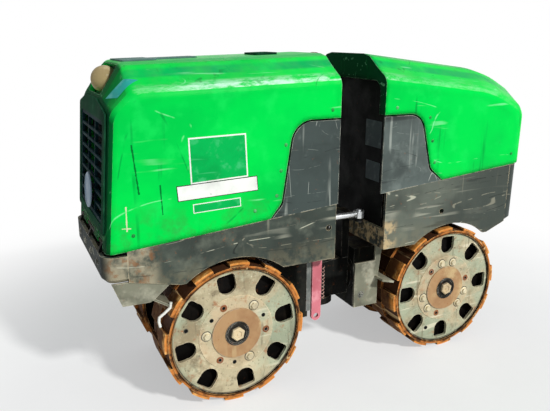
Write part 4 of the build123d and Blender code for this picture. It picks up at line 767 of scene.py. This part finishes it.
def add_labels():
    """Blank labels of the engine hood and of the bulkhead in the gap."""
    for name, (places, border, face, margin) in SIDE_LABELS.items():
        corners = [Vector((x, -SIDE, z)) for x, z in places]
        label(name, "engine_hood", corners, (0, -1, 0), FILMS[border])
        label(name + "_face", "engine_hood", inset(corners, margin), (0, -1, 0), FILMS[face],
              lift=FACE_LIFT)
    brow = [(x, BROW_Y, z) for x, z in BROW_PLACES]
    label("label_brow", "engine_hood", brow, BROW_FACING, FILMS["label_teal"])
    for name, (low, high, y0, y1) in GAP_LABELS.items():
        corners = [(GAP_X, y0, high), (GAP_X, y1, high), (GAP_X, y1, low), (GAP_X, y0, low)]
        label(name, "nose_bulkhead", corners, (-1, 0, 0), FILMS["label_dark"], steps=2)


# Rivets by (x, z) place, the same on both sides
RIVETS = {
    "engine": ((-0.073, 1.070), (-0.259, 0.957), (-0.277, 0.866), (-0.293, 0.777), (-0.378, 0.731),
               (-0.807, 0.699)),
    "nose": ((0.211, 1.066), (0.372, 1.021), (0.392, 0.927), (0.411, 0.839), (0.829, 0.844)),
}
RIVET_RADIUS = 0.0065
OUTSIDE = 0.5


def add_rivets():
    """Rivets of the hoods and panels, one piece per body."""
    material = plain_look("rivet", (22, 150, 66), (10, 90, 40), (120, 210, 140), metal=0.0, rust=0.15)
    for half, places in RIVETS.items():
        groups = {}
        for x, z in places:
            for hand, sign in HANDS.items():
                under = [f"{half}_hood", f"{half}_panel_{hand}", f"{half}_frame"]
                found = land(under, Vector((x, sign * OUTSIDE, z)), Vector((0, -sign, 0)))
                if found:
                    body = BODY_OF[found[2]]
                    groups.setdefault(body, bmesh.new())
                    rivet(groups[body], found[0], (0, sign, 0), RIVET_RADIUS)
        for body, bm in groups.items():
            piece(f"{body}_rivets", bm, body, material)


# Bolts and holes of the discs: kind, radius, first angle in degrees, and how often round the axle
DISC_FASTENERS = {
    "engine": (("rusty", 0.118, 115, 3), ("hex", 0.118, 55, 3), ("hole", 0.118, 25, 3),
               ("hole", 0.198, 166, 1)),
    "nose": (("rusty", 0.118, 13, 3), ("hex", 0.118, 73, 3), ("hex", 0.118, 103, 3),
             ("hole", 0.194, 244, 1)),
}
# Profiles of radius and height: a rusty ring, the dark disc of painted shade in its hole, a dark disc of
# painted shade for a plain hole, and the painted shadow under a bolt
RUST_RING = ((0.0065, -0.002), (0.014, -0.002), (0.014, 0.0006), (0.012, 0.0012), (0.0065, 0.0012),
             (0.0065, -0.002))
RING_HOLE = ((0, -0.002), (0.0066, -0.002), (0.0066, 0.0002), (0, 0.0002))
PLAIN_HOLE = ((0, -0.002), (0.008, -0.002), (0.008, 0.0003), (0, 0.0003))
BOLT_SHADOW = ((0, -SEAT), (0.0205, -SEAT), (0.0200, 0.0003), (0, 0.0003))
# Sides of the round forms, and size of the pale bolts
FINE = 22
COARSE = 18
DISC_BOLT_SIZE = 0.0120
DISC_BOLT_HEIGHT = 0.009


def fasten(meshes, kind, at, axis, angle):
    """One fastener of a disc. Its painted shade, in a hole or under a bolt, joins the holes."""
    if kind == "rusty":
        turned(meshes["rusty"], at, axis, RUST_RING, FINE)
        turned(meshes["hole"], at, axis, RING_HOLE, COARSE)
    elif kind == "hole":
        turned(meshes["hole"], at, axis, PLAIN_HOLE, COARSE)
    else:
        turned(meshes["hole"], at, axis, BOLT_SHADOW, FINE)
        bolt(meshes["hex"], at, axis, DISC_BOLT_SIZE, DISC_BOLT_HEIGHT, turn=angle * 3)


def add_disc_fasteners():
    """Bolts of the discs, and their holes as dark discs of painted shade, one piece per drum pair and kind.
    """
    looks = {
        "rusty": plain_look("bolt_rusty", (140, 86, 52), (88, 54, 36), (186, 130, 86), metal=0.4, rust=0.8),
        "hex": plain_look("bolt_pale", (214, 202, 168), (160, 146, 116), (238, 230, 204),
                          metal=0.4, rust=0.25),
        # Near black of painted shade, for the holes and under the bolts
        "hole": plain_look("hole_shade", (14, 16, 16), (8, 8, 8), (34, 32, 28),
                           metal=0.0, rust=0.1, worn=0.2, dust=0.0),
    }
    for half, rows in DISC_FASTENERS.items():
        meshes = {kind: bmesh.new() for kind in looks}
        for kind, radius, first, count in rows:
            for sign in HANDS.values():
                for k in range(count):
                    angle = math.radians(first + k * 360 / count)
                    at = Vector((AXLE_X[half] + radius * math.cos(angle), sign * DISC_FACE,
                                 AXLE_Z + radius * math.sin(angle)))
                    fasten(meshes, kind, at, (0, sign, 0), angle)
        for kind, bm in meshes.items():
            piece(f"{half}_disc_{kind}_bolts", bm, f"{half}_drums", looks[kind])


# Profiles of the hubs' caps: the raised ring round a dark recess, and the axle nut
CAP_RING = ((0, -SEAT), (0.047, -SEAT), (0.047, 0.0035), (0.045, 0.0045), (0.042, 0.0045), (0.038, 0.0010),
            (0, 0.0010))
AXLE_NUT = ((0, 0.0008), (0.027, 0.0008), (0.027, 0.010), (0.023, 0.013), (0.015, 0.013), (0.013, 0.009),
            (0.006, 0.009), (0.005, 0.011), (0, 0.011))
NUT_TURN = 0.3


def add_hub_caps():
    """Recess and axle nut in the middle of each hub."""
    recess = plain_look("hub_recess", (40, 38, 34), (14, 13, 12), (96, 88, 76),
                        metal=0.0, rust=0.3, worn=1.0, dust=0.0)
    pale = plain_look("hub_nut", (216, 196, 156), (150, 122, 90), (238, 228, 200), metal=0.1, rust=0.6)
    for half, x in AXLE_X.items():
        ring, nut = bmesh.new(), bmesh.new()
        for sign in HANDS.values():
            at = Vector((x, sign * HUB_FACE, AXLE_Z))
            turned(ring, at, (0, sign, 0), CAP_RING, 40)
            turned(nut, at, (0, sign, 0), AXLE_NUT, 6, NUT_TURN)
        piece(f"{half}_hub_recess", ring, f"{half}_drums", recess)
        piece(f"{half}_hub_nut", nut, f"{half}_drums", pale)


# Inner webs of the drums, each with a raised rib
WEB_Y = 0.232
WEB_THICK = 0.006
WEB_RADIUS = 0.2475
WEB_BORE = 0.113
RIB_RISE = 0.004
RIB_RADIUS = 0.160
RIB_FOOT = 0.020
RIB_TOP = 0.010
WEB_PROFILE = (
    (WEB_BORE, 0), (WEB_RADIUS, 0), (WEB_RADIUS, WEB_THICK), (RIB_RADIUS + RIB_FOOT, WEB_THICK),
    (RIB_RADIUS + RIB_TOP, WEB_THICK + RIB_RISE), (RIB_RADIUS - RIB_TOP, WEB_THICK + RIB_RISE),
    (RIB_RADIUS - RIB_FOOT, WEB_THICK), (WEB_BORE, WEB_THICK), (WEB_BORE, 0))


def add_drum_webs():
    """A web inside each drum's outer end, near black as painted shade seen through the disc's holes."""
    material = plain_look("drum_web", (9, 7, 6), (4, 4, 3), (32, 26, 20),
                          metal=0.0, rust=0.15, worn=0.3, dust=0.1)
    for half, x in AXLE_X.items():
        bm = bmesh.new()
        for sign in HANDS.values():
            turned(bm, Vector((x, sign * WEB_Y, AXLE_Z)), (0, sign, 0), WEB_PROFILE, 48)
        piece(f"{half}_drum_webs", bm, f"{half}_drums", material)


def upright(x, y0, y1, low, high):
    """Corners of an upright rectangle that faces along X."""
    return [(x, y0, low), (x, y1, low), (x, y1, high), (x, y0, high)]


# Radiator core: its plate, and the fins in front of it
CORE_PLATE = upright(-0.826, -0.200, 0.200, 0.730, 1.055)
CORE_DEPTH = 0.030
FIN_X = -0.832
FIN_LOW = 0.735
FIN_HIGH = 1.050
FIN_DEPTH = 0.007
FIN_HALF_WIDTH = 0.0014
FIN_FIRST_Y = -0.196
FIN_PITCH = 0.0098
FIN_COUNT = 41


def add_radiator():
    """Radiator core, seen through the grille."""
    material = plain_look("radiator_core", (6, 10, 12), (3, 4, 5), (20, 28, 30),
                          metal=0.0, rust=0.0, worn=0.15, dust=0.0, worn_colour=(52, 62, 64))
    bm = bmesh.new()
    slab(bm, CORE_PLATE, (CORE_DEPTH, 0, 0))
    for k in range(FIN_COUNT):
        y = FIN_FIRST_Y + k * FIN_PITCH
        fin = upright(FIN_X, y - FIN_HALF_WIDTH, y + FIN_HALF_WIDTH, FIN_LOW, FIN_HIGH)
        slab(bm, fin, (FIN_DEPTH, 0, 0))
    piece("radiator_core", bm, "engine_half", material, smooth=False)


# Round badge on the grille, with a raised rim
BADGE = Vector((-0.8975, -0.025, 0.805))
BADGE_AXIS = (-1, 0, 0.081)
BADGE_PROFILE = ((0, 0), (0.062, 0), (0.062, 0.003), (0.059, 0.005), (0.053, 0.005), (0.050, 0.003),
                 (0, 0.0042))


def add_badge():
    """Blank badge that leans with the grille."""
    bm = bmesh.new()
    turned(bm, BADGE, BADGE_AXIS, BADGE_PROFILE, 40)
    piece("grille_badge", bm, "engine_lid", FILMS["badge_grey"])


# Bent rod under the engine end
ROD_PATH = ((-0.690, -0.268, 0.440), (-0.694, -0.270, 0.420), (-0.716, -0.272, 0.404),
            (-0.734, -0.272, 0.392), (-0.736, -0.272, 0.376), (-0.732, -0.272, 0.356))
ROD_RADIUS = 0.005


def add_guide_rod():
    """Pale bent rod in front of the drum."""
    bm = bmesh.new()
    swept(bm, [Vector(p) for p in ROD_PATH], ROD_RADIUS)
    material = plain_look("guide_rod", (226, 226, 218), (180, 178, 166), (244, 244, 238),
                          metal=0.2, rust=0.2)
    piece("engine_guide_rod", bm, "engine_half", material)


# Spring and strap of the lock bar
SPRING_TURNS = 9
SPRING_STEPS = 12
SPRING_RADIUS = 0.009
SPRING_WIRE = 0.0018
SPRING_X = -0.050
SPRING_Y = -0.200
SPRING_LOW = 0.30
SPRING_HIGH = 0.44
STRAP_Y = -0.206
STRAP_PLACES = ((-0.124, 0.262), (-0.104, 0.262), (-0.104, 0.506), (-0.124, 0.506))
STRAP_DEPTH = 0.006


def add_lock_parts():
    """Coil spring and flat strap beside the lock bar."""
    steps = SPRING_TURNS * SPRING_STEPS
    path = []
    for k in range(steps + 1):
        angle = math.tau * k / SPRING_STEPS
        x = SPRING_X + SPRING_RADIUS * math.cos(angle)
        y = SPRING_Y + SPRING_RADIUS * math.sin(angle)
        path.append(Vector((x, y, SPRING_LOW + (SPRING_HIGH - SPRING_LOW) * k / steps)))
    bm = bmesh.new()
    swept(bm, path, SPRING_WIRE, 6)
    piece("lock_spring", bm, "engine_half",
          plain_look("spring", (168, 120, 112), (110, 78, 70), (214, 180, 168), metal=0.4, rust=0.5))
    bm = bmesh.new()
    slab(bm, [(x, STRAP_Y, z) for x, z in STRAP_PLACES], (0, STRAP_DEPTH, 0))
    piece("lock_strap", bm, "engine_half",
          plain_look("lock_strap", (120, 124, 120), (78, 82, 78), (168, 168, 158), metal=0.3))


# Bolts of the nose scrapers by (x, z), and of the bumpers by (y, z)
SCRAPER_BOLT = (0.132, 0.290)
SCRAPER_BOLT_SIZE = 0.010
SCRAPER_BOLT_HEIGHT = 0.006
ENGINE_BUMPER_BOLTS = [(y, 0.595) for y in (-0.180, -0.060, 0.060, 0.180)]
NOSE_BUMPER_BOLTS = [(y, z) for y in (-0.200, 0.200) for z in (0.590, 0.700)]
BUMPER_BOLT_SIZE = 0.009
BUMPER_BOLT_HEIGHT = 0.005
BEYOND_ENDS = 1.2


def add_bumper_bolts(half, places, end, material):
    """Bolts of a bumper, seated on its face; end is -1 or 1 along X."""
    bm = bmesh.new()
    for y, z in places:
        found = land([f"{half}_bumper"], Vector((end * BEYOND_ENDS, y, z)), Vector((-end, 0, 0)))
        if found:
            bolt(bm, found[0], found[1], BUMPER_BOLT_SIZE, BUMPER_BOLT_HEIGHT)
    piece(f"{half}_bumper_bolts", bm, f"{half}_half", material)


def add_plate_bolts():
    """Bolts of the nose scrapers and of both bumpers."""
    material = plain_look("plate_bolt", (104, 106, 98), (54, 56, 52), (176, 172, 156), metal=0.5, rust=0.5)
    x, z = SCRAPER_BOLT
    bm = bmesh.new()
    for hand, sign in HANDS.items():
        found = land([f"nose_scraper_{hand}"], Vector((x, sign * OUTSIDE, z)), Vector((0, -sign, 0)))
        if found:
            bolt(bm, found[0], (0, sign, 0), SCRAPER_BOLT_SIZE, SCRAPER_BOLT_HEIGHT, turn=0.2)
    piece("nose_scraper_bolts", bm, "nose_half", material)
    add_bumper_bolts("engine", ENGINE_BUMPER_BOLTS, -1, material)
    add_bumper_bolts("nose", NOSE_BUMPER_BOLTS, 1, material)


def set_camera():
    """Places the camera where the photograph was taken."""
    data = bpy.data.cameras.new("camera")
    data.sensor_width = SENSOR
    data.lens = LENS
    data.clip_end = CLIP_END
    camera = bpy.data.objects.new("camera", data)
    bpy.context.scene.collection.objects.link(camera)
    turn = Matrix((RIGHT, UP, RIGHT.cross(UP))).transposed()
    camera.matrix_world = Matrix.Translation(EYE) @ turn.to_4x4()
    bpy.context.scene.camera = camera


# Soft sky and the sun
SKY_COLOUR = (0.82, 0.88, 0.95, 1)
SKY_STRENGTH = 0.34
SUN_ENERGY = 3.2
SUN_ANGLE = math.radians(5)
SUN_DIRECTION = Vector((-0.28, 0.82, -0.60))


def set_world():
    """A white backdrop that also shows in gloss, and a soft sky for the light."""
    world = bpy.data.worlds.new("world")
    bpy.context.scene.world = world
    world.use_nodes = True
    shaders, links = world.node_tree.nodes, world.node_tree.links
    shaders.clear()
    out = shaders.new("ShaderNodeOutputWorld")
    seen = shaders.new("ShaderNodeBackground")
    lit = shaders.new("ShaderNodeBackground")
    mix = shaders.new("ShaderNodeMixShader")
    path = shaders.new("ShaderNodeLightPath")
    gloss = shaders.new("ShaderNodeMath")
    gloss.operation = "MAXIMUM"
    clear = shaders.new("ShaderNodeMath")
    clear.operation = "MAXIMUM"
    lit.inputs["Color"].default_value = SKY_COLOUR
    lit.inputs["Strength"].default_value = SKY_STRENGTH
    seen.inputs["Color"].default_value = WHITE
    seen.inputs["Strength"].default_value = 1.0
    links.new(path.outputs["Is Camera Ray"], gloss.inputs[0])
    links.new(path.outputs["Is Glossy Ray"], gloss.inputs[1])
    links.new(gloss.outputs[0], clear.inputs[0])
    links.new(path.outputs["Is Transmission Ray"], clear.inputs[1])
    links.new(clear.outputs[0], mix.inputs[0])
    links.new(lit.outputs[0], mix.inputs[1])
    links.new(seen.outputs[0], mix.inputs[2])
    links.new(mix.outputs[0], out.inputs[0])


def set_sun():
    """One slightly soft sun from the photographed side."""
    data = bpy.data.lights.new("sun", "SUN")
    data.energy = SUN_ENERGY
    data.angle = SUN_ANGLE
    sun = bpy.data.objects.new("sun", data)
    sun.rotation_euler = SUN_DIRECTION.to_track_quat("-Z", "Y").to_euler()
    bpy.context.scene.collection.objects.link(sun)


# Floor: half its side, and where it turns white, from the middle
FLOOR_REACH = 6
WHITE_FROM = 0.9
WHITE_BEYOND = 2.6
WHITE_AT_MIDDLE = 0.45


def floor_look():
    """Pale floor, white to the camera far from the machine, which keeps the shadow near it."""
    look = Look("floor", (236, 236, 234), rough=(0.7, 0.9), rough_scale=3.0)
    look.tone((228, 228, 226), 2.0, 0.4, 0.7, 0.5)
    look.bump(look.noise(30.0, detail=4), 0.001, 0.3)
    material = look.done()
    away = look.node("ShaderNodeVectorMath", operation="LENGTH")
    look.feed(away.inputs[0], look.place)
    white = look.span(away.outputs["Value"], WHITE_FROM, WHITE_BEYOND, WHITE_AT_MIDDLE, 1.0)
    path = look.node("ShaderNodeLightPath")
    glow = look.node("ShaderNodeEmission")
    glow.inputs["Color"].default_value = WHITE
    mix = look.node("ShaderNodeMixShader")
    seen = look.either(path.outputs["Is Camera Ray"], path.outputs["Is Glossy Ray"])
    look.feed(mix.inputs[0], look.both(seen, white))
    look.feed(mix.inputs[1], look.shader.outputs[0])
    look.feed(mix.inputs[2], glow.outputs[0])
    look.feed(look.tree.nodes["Material Output"].inputs["Surface"], mix.outputs[0])
    return material


def add_floor():
    """Square floor under the drums."""
    reach = FLOOR_REACH
    mesh = bpy.data.meshes.new("floor")
    mesh.from_pydata([(-reach, -reach, 0), (reach, -reach, 0), (reach, reach, 0), (-reach, reach, 0)], [],
                     [(0, 1, 2, 3)])
    mesh.materials.append(floor_look())
    floor = bpy.data.objects.new("floor", mesh)
    bpy.context.scene.collection.objects.link(floor)


add_labels()
add_rivets()
add_disc_fasteners()
add_hub_caps()
add_drum_webs()
add_radiator()
add_badge()
add_guide_rod()
add_lock_parts()
add_plate_bolts()
set_camera()
set_world()
set_sun()
add_floor()

bpy.context.scene.view_settings.view_transform = "Standard"
